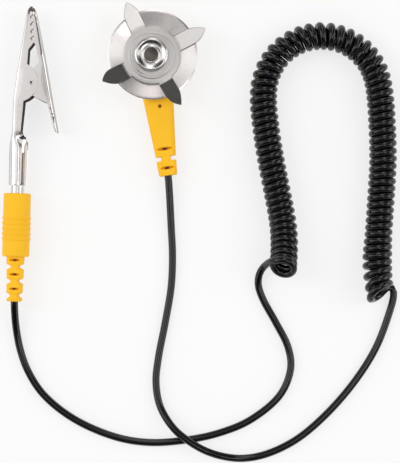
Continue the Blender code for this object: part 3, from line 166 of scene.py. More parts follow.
TENT_RADIUS = 2.5
# Nearly black cloth, but for a grey rim low down, at these heights as seen from the object.
ROOF_LEVEL, RIM_LEVEL, RIM_HEIGHTS = 0.03, 0.45, (0.1, 0.38)
WARM, PINK, PLAIN = (1.0, 0.985, 0.98), (1.0, 0.95, 0.93), (1.0, 1.0, 1.0)
# Each panel: its spans of X and Y as seen from the object, how bright it is, and its colour.
# The gap between X 0 and X 0.05 is the dark lens and stand of the camera.
PANELS = (
    ((-0.97, -0.62), (-0.3, 0.4), 1.7, PLAIN),
    ((-0.62, -0.25), (-0.1, 0.4), 1.1, WARM),
    ((-0.25, -0.12), (-0.25, 0.4), 1.03, WARM),
    ((-0.12, 0.0), (0.05, 0.4), 0.53, WARM),
    ((-0.12, 0.0), (-0.3, 0.05), 0.37, WARM),
    ((-0.13, 0.12), (0.4, 0.98), 1.8, PINK),
    ((0.12, 0.25), (0.4, 0.98), 1.1, PINK),
    ((0.05, 0.12), (-0.12, 0.2), 1.5, WARM),
    ((0.12, 0.25), (-0.1, 0.2), 2.2, WARM),
    ((0.12, 0.4), (-0.3, -0.1), 3.6, WARM),
    ((0.4, 0.8), (-0.1, 0.2), 0.95, WARM),
    ((0.8, 0.95), (-0.38, 0.4), 2.5, PLAIN),
    ((0.95, 0.995), (-0.4, 0.3), 0.3, (1.0, 0.9, 0.74)),
)

tent_mesh = bpy.data.meshes.new("light_tent")
tent_shape = bmesh.new()
bmesh.ops.create_uvsphere(tent_shape, u_segments=48, v_segments=24, radius=TENT_RADIUS)
tent_shape.to_mesh(tent_mesh)
tent_shape.free()
tent = link(bpy.data.objects.new("light_tent", tent_mesh))
tent.location = (VIEW_CENTRE_MM[0] * MM, VIEW_CENTRE_MM[1] * MM, 0.0)
tent.visible_camera = False
tent.visible_diffuse = False
tent.visible_transmission = False
tent.visible_shadow = False

tent_material, tree, shader, add = new_material("light_tent")
place = add("ShaderNodeTexCoord")
scaled = add("ShaderNodeVectorMath", {0: place.outputs["Object"]}, operation="NORMALIZE")
apart = add("ShaderNodeSeparateXYZ", {0: scaled.outputs[0]})
roof = add("ShaderNodeRGB")
roof.outputs[0].default_value = (ROOF_LEVEL, ROOF_LEVEL, ROOF_LEVEL, 1.0)


def between(way, low, high, soft):
    """1 where the view's X, Y or Z lies between low and high, with soft edges."""
    rise = add("ShaderNodeMapRange", {"Value": apart.outputs[way], "From Min": low - soft,
               "From Max": low + soft}, interpolation_type="SMOOTHSTEP")
    fall = add("ShaderNodeMapRange", {"Value": apart.outputs[way], "From Min": high - soft,
               "From Max": high + soft, "To Min": 1.0, "To Max": 0.0},
               interpolation_type="SMOOTHSTEP")
    return times(rise.outputs[0], fall.outputs[0])


def times(one, other):
    return add("ShaderNodeMath", {0: one, 1: other}, operation="MULTIPLY").outputs[0]


def with_light(glow, colour, mask):
    """The tent's glow with one more light, where the mask lets it through."""
    lit = add("ShaderNodeVectorMath", {0: colour}, operation="SCALE")
    tree.links.new(mask, lit.inputs["Scale"])
    return add("ShaderNodeVectorMath", {0: glow, 1: lit.outputs[0]}, operation="ADD").outputs[0]


glow = roof.outputs[0]
for across, deep, level, tint in PANELS:
    panel = times(between("X", *across, 0.02), between("Y", *deep, 0.05))
    glow = with_light(glow, [level * part for part in tint], panel)
glow = with_light(glow, [RIM_LEVEL] * 3, between("Z", *RIM_HEIGHTS, 0.03))
light = add("ShaderNodeEmission", {"Color": glow, "Strength": 1.0})
tree.links.new(light.outputs[0], tree.nodes["Material Output"].inputs["Surface"])
tent_mesh.materials.append(tent_material)

# ---------------------------------------------------------------- the cord
# One length of black polyurethane cord: a lead from the snap end, a tightly wound curly
# stretch laid in an arch, and a lead to the plug. The curls touch, so the curly stretch is a
# right-handed helix with nearly no space between its turns, a little open at its ends.

CORD_DIAMETER_MM = 2.25
CURL_RADIUS_MM = 3.12
# The curls widen near the snap's end, which has been pulled: share along the stretch, radius.
CURL_WIDENS_MM = ((0.0, CURL_RADIUS_MM), (0.895, CURL_RADIUS_MM), (0.93, 3.42), (1.0, 3.42))
POINTS_PER_CURL = 22
CURL_START_PHASE, CURL_END_PHASE = -50.0, 90.0
# How far one curl lies from the next, from the plug's end (0) to the snap's end (1).
CURL_PITCH_MM = ((0.0, 0.8), (0.004, 1.2), (0.012, 2.25), (0.3, 2.2), (0.36, 2.6), (0.42, 2.8),
                 (0.5, 2.8), (0.555, 2.64), (0.6, 2.35), (0.64, 2.2), (0.925, 2.2), (0.945, 2.55),
                 (0.96, 2.8), (1.0, 2.85))
# How far the curls lean to one side, in degrees, along the same stretch.
CURL_LEAN = ((0.0, -19.0), (0.03, -10.0), (0.07, 0.0), (0.15, 2.0), (0.3, 3.0), (0.42, 3.0),
             (0.5, 0.0), (0.56, 2.0), (0.64, 3.0), (0.9, 1.0), (0.94, 2.0), (0.955, 6.0),
             (0.973, 11.0), (0.991, 17.0), (1.0, 21.0))
# Each curl sits a little skewed, by two slow waves: degrees, rate per turn and start.
CURL_SKEW = ((1.4, 1.7, 0.0), (1.1, 0.61, 1.0))
# The curls tip up at the snap's end and down at the plug's: degrees, and over how many turns.
END_TIPS = ((20.0, 1.6), (-45.0, 6.8))
LYING_MM = CORD_DIAMETER_MM / 2
CORD_CENTRELINE_STEP_MM, LEAD_STEP_MM = 0.25, 1.5


def smooth_line(points, step):
    """Evenly spaced points on a smooth curve through given points."""
    given = np.array(points, float)
    padded = np.vstack([2 * given[0] - given[1], given, 2 * given[-1] - given[-2]])
    dense = []
    for p0, p1, p2, p3 in zip(padded, padded[1:], padded[2:], padded[3:]):
        d1, d2 = (np.linalg.norm(b - a) ** 0.5 for a, b in ((p0, p1), (p1, p2)))
        d3 = np.linalg.norm(p3 - p2) ** 0.5
        m1 = (p2 - p1) + d2 * ((p1 - p0) / d1 - (p2 - p0) / (d1 + d2))
        m2 = (p2 - p1) + d2 * ((p3 - p2) / d3 - (p3 - p1) / (d2 + d3))
        for t in np.linspace(0.0, 1.0, 24, endpoint=False):
            bend = (3 * (p2 - p1) - 2 * m1 - m2) * t**2 + (2 * (p1 - p2) + m1 + m2) * t**3
            dense.append(p1 + m1 * t + bend)
    dense = np.array([*dense, given[-1]])
    walked = np.concatenate([[0.0], np.cumsum(np.linalg.norm(np.diff(dense, axis=0), axis=1))])
    wanted = np.linspace(0.0, walked[-1], max(2, round(walked[-1] / step) + 1))
    return np.column_stack([np.interp(wanted, walked, dense[:, axis]) for axis in range(3)])


def unit(rows):
    return rows / np.linalg.norm(rows, axis=-1, keepdims=True)


CURL_Z_MM = CURL_RADIUS_MM + LYING_MM
ARCH_CENTRE_MM, ARCH_RADIUS_MM = (51.3, -11.45), 17.65
arch = [
    (
        ARCH_CENTRE_MM[0] - ARCH_RADIUS_MM * math.cos(math.pi * step / 8),
        ARCH_CENTRE_MM[1] + ARCH_RADIUS_MM * math.sin(math.pi * step / 8),
        CURL_Z_MM,
    )
    for step in range(9)
]
LEFT_LEG_MM = [
    (39.5, -63.9, CURL_Z_MM + 4.5),
    (39.75, -61.0, CURL_Z_MM + 3.0),
    (40.0, -57.5, CURL_Z_MM + 1.6),
    (39.8, -51.5, CURL_Z_MM + 0.3),
    (38.1, -42.0, CURL_Z_MM),
    (36.0, -31.4, CURL_Z_MM),
    (34.6, -22.3, CURL_Z_MM),
]
RIGHT_LEG_MM = [
    (69.6, -20.8, CURL_Z_MM),
    (69.9, -31.4, CURL_Z_MM),
    (69.4, -40.5, CURL_Z_MM),
    (68.7, -51.0, CURL_Z_MM),
    (68.2, -58.6, CURL_Z_MM),
    (68.0, -61.7, CURL_Z_MM + 0.5),
    (68.0, -64.4, CURL_Z_MM + 0.9),
    (68.2, -67.2, CURL_Z_MM + 1.4),
    (68.75, -71.4, CURL_Z_MM + 2.35),
]


def curls():
    """The helix about its centreline, with the end curls turned as they lie on the table."""
    centre = smooth_line(LEFT_LEG_MM + arch + RIGHT_LEG_MM, CORD_CENTRELINE_STEP_MM)
    reach = 16
    window = np.ones(2 * reach + 1) / (2 * reach + 1)
    before = centre[0] + np.arange(-reach, 0)[:, None] * (centre[1] - centre[0])
    after = centre[-1] + np.arange(1, reach + 1)[:, None] * (centre[-1] - centre[-2])
    longer = np.vstack([before, centre, after])
    centre = np.column_stack([np.convolve(c, window, mode="valid") for c in longer.T])
    ahead = unit(np.gradient(centre, axis=0))
    share = np.linspace(0.0, 1.0, len(centre))
    density = 1.0 / np.interp(share, *zip(*CURL_PITCH_MM))
    wound = np.concatenate([[0.0], np.cumsum((density[1:] + density[:-1]) / 2)])
    wound *= CORD_CENTRELINE_STEP_MM
    part_turn = (CURL_END_PHASE - CURL_START_PHASE) / 360.0
    count = round(wound[-1] - part_turn) + part_turn
    wound *= count / wound[-1]
    every = np.arange(len(centre))
    turns = np.linspace(0.0, count, round(count * POINTS_PER_CURL) + 1)
    index = np.interp(turns, wound, every)
    at = np.column_stack([np.interp(index, every, column) for column in centre.T])
    axis = unit(np.column_stack([np.interp(index, every, column) for column in ahead.T]))
    yaw = np.radians(np.interp(index / every[-1], *zip(*CURL_LEAN)))
    yaw += np.radians(sum(size * np.sin(rate * turns + start) for size, rate, start in CURL_SKEW))
    pitch = np.radians(sum(tip * np.exp(-((away / over) ** 2))
                           for away, (tip, over) in zip((count - turns, turns), END_TIPS)))
    radius = np.interp(index / every[-1], *zip(*CURL_WIDENS_MM))[:, None]
    flat = np.column_stack([
        axis[:, 0] * np.cos(yaw) - axis[:, 1] * np.sin(yaw),
        axis[:, 0] * np.sin(yaw) + axis[:, 1] * np.cos(yaw),
        np.zeros(len(yaw)),
    ])
    flat = unit(flat * np.cos(pitch)[:, None] + np.sin(pitch)[:, None] * np.array([0.0, 0.0, 1.0]))
    right = unit(np.cross(flat, (0.0, 0.0, 1.0)))
    up = np.cross(right, flat)
    phase = np.radians(CURL_START_PHASE) + math.tau * turns[:, None]
    return at + radius * (np.sin(phase) * right + np.cos(phase) * up)


SNAP_LEAD_MM = [
    (4.95, -36.23, 2.5),
    (5.31, -40.94, 2.2),
    (5.84, -51.49, 1.3),
    (6.24, -60.45, LYING_MM),
    (5.84, -69.72, LYING_MM),
    (4.03, -80.69, LYING_MM),
    (1.91, -91.67, LYING_MM),
    (1.21, -98.92, LYING_MM),
    (2.53, -106.22, 1.6),
    (6.58, -112.57, 3.0),
    (10.89, -116.21, 3.5),
    (16.20, -119.39, 3.0),
    (22.04, -121.39, 1.7),
    (27.59, -121.98, LYING_MM),
    (34.44, -120.77, LYING_MM),
    (43.60, -116.44, LYING_MM),
    (52.77, -108.79, LYING_MM),
    (61.83, -98.32, LYING_MM),
    (68.28, -87.94, LYING_MM),
    (72.50, -76.60, LYING_MM),
    (73.40, -73.00, LYING_MM),
    (73.35, -71.00, LYING_MM),
    (72.45, -69.80, LYING_MM),
    (71.10, -70.35, LYING_MM),
    (69.75, -71.75, LYING_MM + 0.15),
    (68.00, -73.04, 1.9),
]
PLUG_LEAD_MM = [
    (-41.35, -70.90, 4.3),
    (-41.49, -74.51, 4.0),
    (-41.46, -78.57, 3.0),
    (-41.11, -83.17, 1.8),
    (-40.08, -88.85, LYING_MM),
    (-37.77, -95.30, LYING_MM),
    (-33.03, -102.55, LYING_MM),
    (-23.87, -109.90, LYING_MM),
    (-11.18, -115.44, LYING_MM),
    (-0.61, -117.15, LYING_MM),
    (11.48, -116.24, LYING_MM),
    (20.84, -114.13, LYING_MM),
    (29.91, -110.30, LYING_MM),
    (39.07, -102.55, LYING_MM),
    (42.19, -94.49, LYING_MM),
    (41.29, -87.94, LYING_MM),
    (37.66, -80.69, LYING_MM),
    (33.63, -73.34, LYING_MM),
    (32.31, -69.30, 1.5),
    (32.58, -66.06, 2.3),
    (34.03, -63.52, 3.6),
]

helix = curls()
SNAP_CORD_START_MM = (3.44, -24.76, 2.6)
PLUG_CORD_START_MM = (-40.96, -56.98, 4.35)
snap_route = [SNAP_CORD_START_MM, *SNAP_LEAD_MM]
tail = smooth_line([*snap_route, tuple(helix[-1]), tuple(helix[-8])], LEAD_STEP_MM)
tail = tail[: 1 + int(np.argmin(np.linalg.norm(tail - helix[-1], axis=1)))]
plug_route = [PLUG_CORD_START_MM, *PLUG_LEAD_MM]
head = smooth_line([*plug_route, tuple(helix[0]), tuple(helix[7])], LEAD_STEP_MM)
head = head[: 1 + int(np.argmin(np.linalg.norm(head - helix[0], axis=1)))]
cord_line = np.vstack([tail[:-1], helix[::-1], head[::-1][1:]]) * MM

curve = bpy.data.curves.new("black_cord", "CURVE")
curve.dimensions = "3D"
curve.bevel_depth = CORD_DIAMETER_MM / 2 * MM
curve.bevel_resolution = 4
curve.use_fill_caps = True
spline = curve.splines.new("POLY")
spline.points.add(len(cord_line) - 1)
spline.points.foreach_set("co", np.column_stack([cord_line, np.ones(len(cord_line))]).ravel())
spline.use_smooth = True
cord = link(bpy.data.objects.new("black_cord", curve))

cord_material, tree, shader, add = new_material("black_polyurethane")
shader.inputs["Base Color"].default_value = (0.0035, 0.0035, 0.0048, 1.0)
shader.inputs["Roughness"].default_value = 0.17
shader.inputs["Specular IOR Level"].default_value = 0.5
curve.materials.append(cord_material)

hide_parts("cord_lead_snap", "curly_cord", "cord_lead_plug")
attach(cord, "cord_set")

# ---------------------------------------------------------------- snap housing
# Soft yellow vinyl moulded over the press-stud socket, the resistor and the end of the cord:
# a round head under the disc, a tapered stem, and a strain relief of one notched block with
# oval pockets that bare the cord.

HEAD_RADIUS_MM, HEAD_HEIGHT_MM, HEAD_ROUND_MM = 8.5, 5.8, 1.1
SOCKET_SEAT_MM = ((7.25, 5.1), (6.3, 5.1), (6.3, 3.8), (5.65, 3.8), (5.65, 0.9))
STEM_AXIS_Z_MM = 2.6
# Along the stem, half width, half height and corner of each section.
STEM_SECTIONS_MM = (
    (3.0, 5.6, 2.5, 1.9),
    (13.5, 4.54, 2.5, 1.9),
    (29.9, 3.13, 2.45, 1.6),
    (30.4, 3.08, 2.4, 1.4),
    (30.52, 2.98, 2.35, 1.3),
    (30.58, 1.6, 2.3, 0.8),
    (30.7, 1.45, 2.3, 0.7),
    (31.75, 1.45, 2.3, 0.7),
    (31.87, 1.6, 2.3, 0.8),
    (31.93, 2.9, 2.35, 1.3),
    (32.05, 3.02, 2.4, 1.5),
    (35.95, 2.78, 2.4, 1.5),
    (36.25, 2.7, 2.35, 1.4),
    (36.4, 2.5, 2.1, 1.2),
)
# The stem leans a little to the right, towards the head.
STEM_END_MM, STEM_LEAN = 36.0, 0.0095
# Pockets: place along the stem, half width and half length. They lie above and below it.
POCKETS_MM = ((28.3, 2.5, 0.5), (34.1, 2.1, 0.5))
POCKET_DEPTH_MM, POCKET_RISE_MM = 1.75, 2.45
CORE_PIN_HOLE_MM, CORE_PIN_HOLE_RADIUS_MM = (15.4, 0.35), 0.56
CREASE, SNAP_HEADING = 38.0, -82.1

snap_frame = Matrix.Rotation(math.radians(SNAP_HEADING), 4, "Z")


def grid_mesh(name, rings, wrap=False):
    """A closed surface through rings of points in millimetres, capped unless it wraps round."""
    shape = bmesh.new()
    loops = [[shape.verts.new(Vector(point) * MM) for point in ring] for ring in rings]
    pairs = list(zip(loops, loops[1:]))
    if wrap:
        pairs.append((loops[-1], loops[0]))
    else:
        shape.faces.new(loops[0][::-1])
        shape.faces.new(loops[-1])
    for ring, after in pairs:
        for i, vert in enumerate(ring):
            j = (i + 1) % len(ring)
            shape.faces.new((vert, ring[j], after[j], after[i]))
    return finished(name, shape)


def finished(name, shape):
    """Turns a drawn shape into an object that shades smooth up to its creases."""
    bmesh.ops.recalc_face_normals(shape, faces=shape.faces)
    if shape.calc_volume(signed=True) < 0:
        bmesh.ops.reverse_faces(shape, faces=shape.faces)
    mesh = bpy.data.meshes.new(name)
    shape.to_mesh(mesh)
    shape.free()
    mesh.shade_smooth()
    mesh.set_sharp_from_angle(angle=math.radians(CREASE))
    return link(bpy.data.objects.new(name, mesh))


def turned(name, profile, steps=96):
    """Turns a closed (radius, z) outline round the Z axis."""
    rings = []
    for step in range(steps):
        angle = math.tau * step / steps
        rings.append([(r * math.cos(angle), r * math.sin(angle), z) for r, z in profile])
    return grid_mesh(name, rings, wrap=True)


def rounded_section(along, half_width, half_height, corner, axis_z=0.0, per_corner=9):
    """An upright oblong with round corners, at one place along a piece."""
    section = []
    for quarter in range(4):
        sign_y = 1 if quarter in (0, 3) else -1
        sign_z = 1 if quarter < 2 else -1
        for step in range(per_corner):
            angle = math.radians(90.0 * (quarter + step / (per_corner - 1)))
            y = sign_y * (half_width - corner) + corner * math.cos(angle)
            z = sign_z * (half_height - corner) + corner * math.sin(angle)
            section.append((along, y, axis_z + z))
    return section


def denser(rows, step):
    """Adds evenly spaced rows between given ones that lie far apart."""
    full = []
    for row, after in zip(rows, rows[1:]):
        count = max(1, round(abs(after[0] - row[0]) / step))
        full += [tuple(a + (b - a) * i / count for a, b in zip(row, after)) for i in range(count)]
    return [*full, rows[-1]]


def combine(obj, operation, other):
    """Joins another closed shape to a piece, or cuts it away, and keeps only the result."""
    change = obj.modifiers.new("combine", "BOOLEAN")
    change.operation = operation
    change.solver = "EXACT"
    change.object = other
    evaluated = obj.evaluated_get(bpy.context.evaluated_depsgraph_get())
    result = bpy.data.meshes.new_from_object(evaluated)
    obj.modifiers.clear()
    obj.data = result
    bpy.data.objects.remove(other)
    return obj


def moved(obj, matrix):
    """Moves a piece's own mesh and gives the piece back."""
    obj.data.transform(matrix)
    return obj


def offset_mm(x, y, z):
    return Matrix.Translation(Vector((x, y, z)) * MM)


def ball(name, centre, radii, segments=32):
    """A ball stretched to a radius in each direction."""
    shape = bmesh.new()
    bmesh.ops.create_uvsphere(shape, u_segments=segments, v_segments=segments // 2, radius=MM)
    bmesh.ops.scale(shape, vec=radii, verts=shape.verts)
    bmesh.ops.translate(shape, vec=Vector(centre) * MM, verts=shape.verts)
    return finished(name, shape)


def rod(name, low, high, radius, segments=32):
    """An upright round bar between two heights."""
    shape = bmesh.new()
    bmesh.ops.create_cone(shape, cap_ends=True, segments=segments, radius1=radius * MM,
                          radius2=radius * MM, depth=(high - low) * MM)
    bmesh.ops.translate(shape, vec=(0.0, 0.0, (high + low) / 2 * MM), verts=shape.verts)
    return finished(name, shape)


def drill(obj, place, radius, low=-6, high=6, segments=32):
    """Cuts an upright round hole through a piece."""
    combine(obj, "DIFFERENCE", moved(rod("hole", low, high, radius, segments), place))


def soften(obj, width_mm, angle=CREASE):
    """Rounds the creases of a piece a little."""
    edge = obj.modifiers.new("soft_edges", "BEVEL")
    edge.width = width_mm * MM
    edge.segments = 2
    edge.limit_method = "ANGLE"
    edge.angle_limit = math.radians(angle)
    edge.harden_normals = True


head_outline = [(0.02, HEAD_HEIGHT_MM)]
for step in range(9):
    bend = math.radians(11.25 * step)
    head_outline.append((HEAD_RADIUS_MM - HEAD_ROUND_MM * (1 - math.sin(bend)),
                         HEAD_HEIGHT_MM - HEAD_ROUND_MM * (1 - math.cos(bend))))
head_outline += [(r, HEAD_HEIGHT_MM - z) for r, z in head_outline[::-1]]
housing = turned("yellow_snap_housing", head_outline, 96)
stem = grid_mesh("stem", [
    rounded_section(at, w, h, c, STEM_AXIS_Z_MM) for at, w, h, c in denser(STEM_SECTIONS_MM, 1.2)
])
for vert in stem.data.vertices:
    vert.co.y += STEM_LEAN * max(0.0, STEM_END_MM * MM - vert.co.x)
combine(housing, "UNION", stem)
seat_outline = [(0.02, HEAD_HEIGHT_MM + 1), (7.25, HEAD_HEIGHT_MM + 1), *SOCKET_SEAT_MM,
                (0.02, 0.9)]
combine(housing, "DIFFERENCE", turned("seat", seat_outline))
for along, reach, half in POCKETS_MM:
    for side in (-1, 1):
        centre = (along, 0.0, STEM_AXIS_Z_MM + side * POCKET_RISE_MM)
        combine(housing, "DIFFERENCE", ball("pocket", centre, (half, reach, POCKET_DEPTH_MM)))
drill(housing, offset_mm(*CORE_PIN_HOLE_MM, 0.0), CORE_PIN_HOLE_RADIUS_MM,
      STEM_AXIS_Z_MM + 0.6, HEAD_HEIGHT_MM, 24)
housing.data.set_sharp_from_angle(angle=math.radians(CREASE))
soften(housing, 0.12)
moved(housing, snap_frame)


def grain_group():
    """Soft patches and fine grain over a surface, from the piece's own coordinates."""
    group = bpy.data.node_groups.new("surface_grain", "ShaderNodeTree")
    for name, default in (("Patch Scale", 60.0), ("Grain Scale", 900.0), ("Contrast", 1.0)):
        socket = group.interface.new_socket(name, in_out="INPUT", socket_type="NodeSocketFloat")
        socket.default_value = default
    for name in ("Patches", "Grain"):
        group.interface.new_socket(name, in_out="OUTPUT", socket_type="NodeSocketFloat")
    add = node_maker(group)
    start, end, place = add("NodeGroupInput"), add("NodeGroupOutput"), add("ShaderNodeTexCoord")
    for scale, detail, out in (("Patch Scale", 3.0, "Patches"), ("Grain Scale", 2.0, "Grain")):
        noise = add("ShaderNodeTexNoise", {"Vector": place.outputs["Object"],
                    "Scale": start.outputs[scale], "Detail": detail})
        less = add("ShaderNodeMath", {0: noise.outputs["Fac"], 1: 0.5}, operation="SUBTRACT")
        spread = add("ShaderNodeMath", {0: less.outputs[0], 1: start.outputs["Contrast"], 2: 0.5},
                     operation="MULTIPLY_ADD", use_clamp=True)
        group.links.new(spread.outputs[0], end.inputs[out])
    return group


surface_grain = grain_group()


def finish(name, colours, roughness, patch=60.0, grain=900.0, bump=0.02, contrast=2.0, **fixed):
    """A material with patches between two colours and two roughnesses, and a fine grain."""
    material, tree, shader, add = new_material(name)
    for key, value in fixed.items():
        shader.inputs[key.replace("_", " ")].default_value = value
    group = add("ShaderNodeGroup", {"Patch Scale": patch, "Grain Scale": grain,
                "Contrast": contrast}, node_tree=surface_grain)
    colour = add("ShaderNodeMix", {0: group.outputs["Patches"], 6: (*colours[0], 1.0),
                 7: (*colours[1], 1.0)}, data_type="RGBA")
    tree.links.new(colour.outputs[2], shader.inputs["Base Color"])
    rough = add("ShaderNodeMapRange", {"Value": group.outputs["Grain"], "To Min": roughness[0],
                "To Max": roughness[1]})
    tree.links.new(rough.outputs[0], shader.inputs["Roughness"])
    relief = add("ShaderNodeBump", {"Height": group.outputs["Grain"], "Distance": bump * MM,
                 "Strength": 1.0})
    tree.links.new(relief.outputs[0], shader.inputs["Normal"])
    return material


def clad(obj, *materials):
    """Gives a piece its materials, in place of any it had."""
    obj.data.materials.clear()
    for material in materials:
        obj.data.materials.append(material)


yellow_vinyl = finish("yellow_vinyl", ((1.0, 0.545, 0.006), (0.95, 0.51, 0.008)), (0.42, 0.52),
                      patch=140.0, grain=2600.0, bump=0.012, Specular_IOR_Level=0.35)
clad(housing, yellow_vinyl)
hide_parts("snap_housing")
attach(housing, "cord_set")

# ---------------------------------------------------------------- inside the snap end
# The nickel socket with its spring ring, and below it the strip, resistor and crimp that
# join the socket to the cord. They show only when the stud is pulled out.

nickel = finish("bright_nickel", ((0.76, 0.74, 0.71), (0.70, 0.68, 0.65)), (0.14, 0.24),
                patch=220.0, grain=2000.0, bump=0.008, Metallic=1.0)
spring_steel = finish("spring_steel", ((0.50, 0.50, 0.51), (0.42, 0.42, 0.43)), (0.28, 0.4),
                      patch=300.0, grain=3000.0, bump=0.01, Metallic=1.0)
tinned_copper = finish("tinned_copper", ((0.78, 0.72, 0.64), (0.66, 0.56, 0.46)), (0.3, 0.45),
                       patch=400.0, grain=3000.0, bump=0.015, Metallic=1.0)
tan_enamel = finish("tan_enamel", ((0.60, 0.44, 0.26), (0.52, 0.38, 0.22)), (0.35, 0.5),
                    patch=300.0, grain=2500.0, bump=0.02)


def dress(material, *names):
    """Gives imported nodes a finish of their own, and smooth shading up to their creases."""
    for name in names:
        node = nodes[name]
        clad(node, material)
        weld = node.modifiers.new("weld", "WELD")
        weld.merge_threshold = 0.000002
        node.data.shade_smooth()
        crease = node.modifiers.new("crease", "EDGE_SPLIT")
        crease.split_angle = math.radians(CREASE)


dark_nickel = finish("dulled_nickel", ((0.24, 0.21, 0.19), (0.18, 0.16, 0.145)), (0.35, 0.45),
                     patch=220.0, grain=2000.0, bump=0.008, Metallic=1.0)
dress(dark_nickel, "snap_socket", "snap_stud")
dress(spring_steel, "snap_ring_spring")
dress(tinned_copper, "socket_terminal", "resistor_lead_front", "resistor_lead_rear",
      "splice_sleeve", "conductor_snap_end", "conductor_plug_end")
dress(tan_enamel, "resistor_body")

# ---------------------------------------------------------------- mat disc
# A thin steel disc, lathe-turned so that its face throws fan-shaped reflections, with a
# narrow turned-up rim. The press stud below and the claw plate above are riveted to it.

DISC_SHIFT_MM = 0.35
disc_outline = [
    (2.6, 7.1), (8.6, 7.1), (9.2, 7.14), (10.6, 7.33), (12.6, 7.61), (12.9, 7.64), (13.25, 7.63),
    (13.44, 7.55), (13.5, 7.4), (13.44, 7.25), (13.3, 7.14), (12.4, 7.0), (10.6, 6.74), (9.2, 6.54),
    (8.6, 6.5), (2.6, 6.5),
]
disc = moved(turned("steel_mat_disc", disc_outline, 160), offset_mm(DISC_SHIFT_MM, 0.0, 0.0))
disc_steel = finish("turned_steel", ((0.86, 0.835, 0.82), (0.83, 0.80, 0.79)), (0.24, 0.28),
                    patch=50.0, grain=1500.0, bump=0.0, Metallic=1.0, Anisotropic=0.92,
                    Anisotropic_Rotation=0.25)
tree = disc_steel.node_tree
round_axis = node_maker(tree)("ShaderNodeTangent", direction_type="RADIAL", axis="Z")
tree.links.new(round_axis.outputs[0], tree.nodes["Principled BSDF"].inputs["Tangent"])
clad(disc, disc_steel)
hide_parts("mat_disc")
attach(disc, "mat_stud")

# ---------------------------------------------------------------- claw plate
# Sheet steel stamped as a ring with four leaf-shaped blades that are pushed through the mat.
# A bead is pressed round the rivet. Two blades stand nearly flat and two are bent up more.

CLAW_Z_MM, CLAW_THICK_MM = 7.25, 0.5
CLAW_RING_RADIUS_MM, CLAW_FLAT_RADIUS_MM = 8.6, 8.4
CLAW_SHIFT_MM = (0.2, -0.25)
LEAF_START_MM, LEAF_TIP_MM = 12.6, 0.09
MATTER_BY = 0.22
# Direction, reach in plan, bend, and the leaf's width to its left and to its right.
BLADES_MM = (
    (26.7, 17.85, 9.0, 2.3, 2.65),
    (115.8, 17.45, 9.0, 2.7, 2.15),
    (208.8, 16.7, 26.0, 2.7, 2.3),
    (300.2, 17.5, 26.0, 1.9, 2.5),
)
claw_outline = [
    (2.62, 7.75), (5.5, 7.75), (5.7, 7.78), (5.9, 7.85), (6.05, 7.87), (6.2, 7.83), (6.3, 7.79),
    (6.42, 7.82), (6.6, 7.89), (6.75, 7.9), (6.9, 7.84), (7.05, 7.77), (7.15, 7.75), (7.3, 7.75),
    (8.46, 7.75), (8.56, 7.7), (8.6, 7.62), (8.6, 7.32), (8.57, 7.27), (8.5, 7.25), (2.62, 7.25),
]
claw = turned("steel_claw_plate", claw_outline, 144)


def blade_sections(reach, bend, left_width, right_width):
    """Chamfered sections of one blade, from inside the ring to the tip."""
    bend_at, edge = CLAW_RING_RADIUS_MM - 0.1, 0.12
    leaf_length = reach - LEAF_START_MM
    stations = [7.6, 8.2, *np.linspace(bend_at, LEAF_START_MM, 9)]
    stations += [LEAF_START_MM + leaf_length * (step / 18) for step in range(1, 18)]
    stations.append(reach - 0.05)
    sections = []
    for along in stations:
        leaf = max(0.0, (along - LEAF_START_MM) / leaf_length)
        left = LEAF_TIP_MM + (left_width - LEAF_TIP_MM) * (1 - leaf**1.7)
        right = LEAF_TIP_MM + (right_width - LEAF_TIP_MM) * (1 - leaf**2.3)
        run = max(0.0, along - bend_at)
        rise = math.tan(math.radians(bend)) * (math.hypot(run, 0.5) - 0.5)
        low, high = CLAW_Z_MM + rise + 0.01, CLAW_Z_MM + CLAW_THICK_MM + rise - 0.01
        sections.append([
            (along, -right + edge, low), (along, left - edge, low), (along, left, low + edge),
            (along, left, high - edge), (along, left - edge, high), (along, -right + edge, high),
            (along, -right, high - edge), (along, -right, low + edge),
        ])
    return sections


for direction, reach, bend, left_width, right_width in BLADES_MM:
    blade = grid_mesh("blade", blade_sections(reach, bend, left_width, right_width))
    combine(claw, "UNION", moved(blade, Matrix.Rotation(math.radians(direction), 4, "Z")))
# Two small nicks in the bead, left by the punch.
for angle, length, half in ((232.0, 0.55, 0.17), (241.5, 0.34, 0.2)):
    nick = ball("nick", (6.16, 0.0, 7.9), (half, length, 0.5), 16)
    combine(claw, "DIFFERENCE", moved(nick, Matrix.Rotation(math.radians(angle), 4, "Z")))
claw.data.set_sharp_from_angle(angle=math.radians(CREASE))
moved(claw, offset_mm(*CLAW_SHIFT_MM, 0.0))
# The ring between the beads is matter than the blades, and out past the flat ring the side faces of
# ring and blades are painted dark as painted shadow lines.
claw_steel = finish("stamped_steel", ((0.73, 0.71, 0.70), (0.67, 0.65, 0.64)), (0.2, 0.26),
                    patch=90.0, grain=2600.0, bump=0.003, Metallic=1.0)
tree = claw_steel.node_tree
shader = tree.nodes["Principled BSDF"]
add = node_maker(tree)
place = add("ShaderNodeTexCoord")
level = add("ShaderNodeVectorMath", {0: place.outputs["Object"], 1: (1.0, 1.0, 0.0)},
            operation="MULTIPLY")
reach_out = add("ShaderNodeVectorMath", {0: level.outputs[0]}, operation="LENGTH")
matt = add("ShaderNodeMapRange", {
    "Value": reach_out.outputs["Value"], "From Min": CLAW_FLAT_RADIUS_MM * MM,
    "From Max": (CLAW_FLAT_RADIUS_MM + 1.0) * MM, "To Min": MATTER_BY, "To Max": 0.0})
own_roughness = shader.inputs["Roughness"].links[0].from_socket
rougher = add("ShaderNodeMath", {0: matt.outputs[0], 1: own_roughness})
tree.links.new(rougher.outputs[0], shader.inputs["Roughness"])
painted_shadow_edge = finish("painted_shadow_edge", ((0.12, 0.115, 0.12), (0.07, 0.07, 0.075)), (0.4, 0.6),
                      patch=200.0, grain=1500.0, bump=0.01, Metallic=1.0)
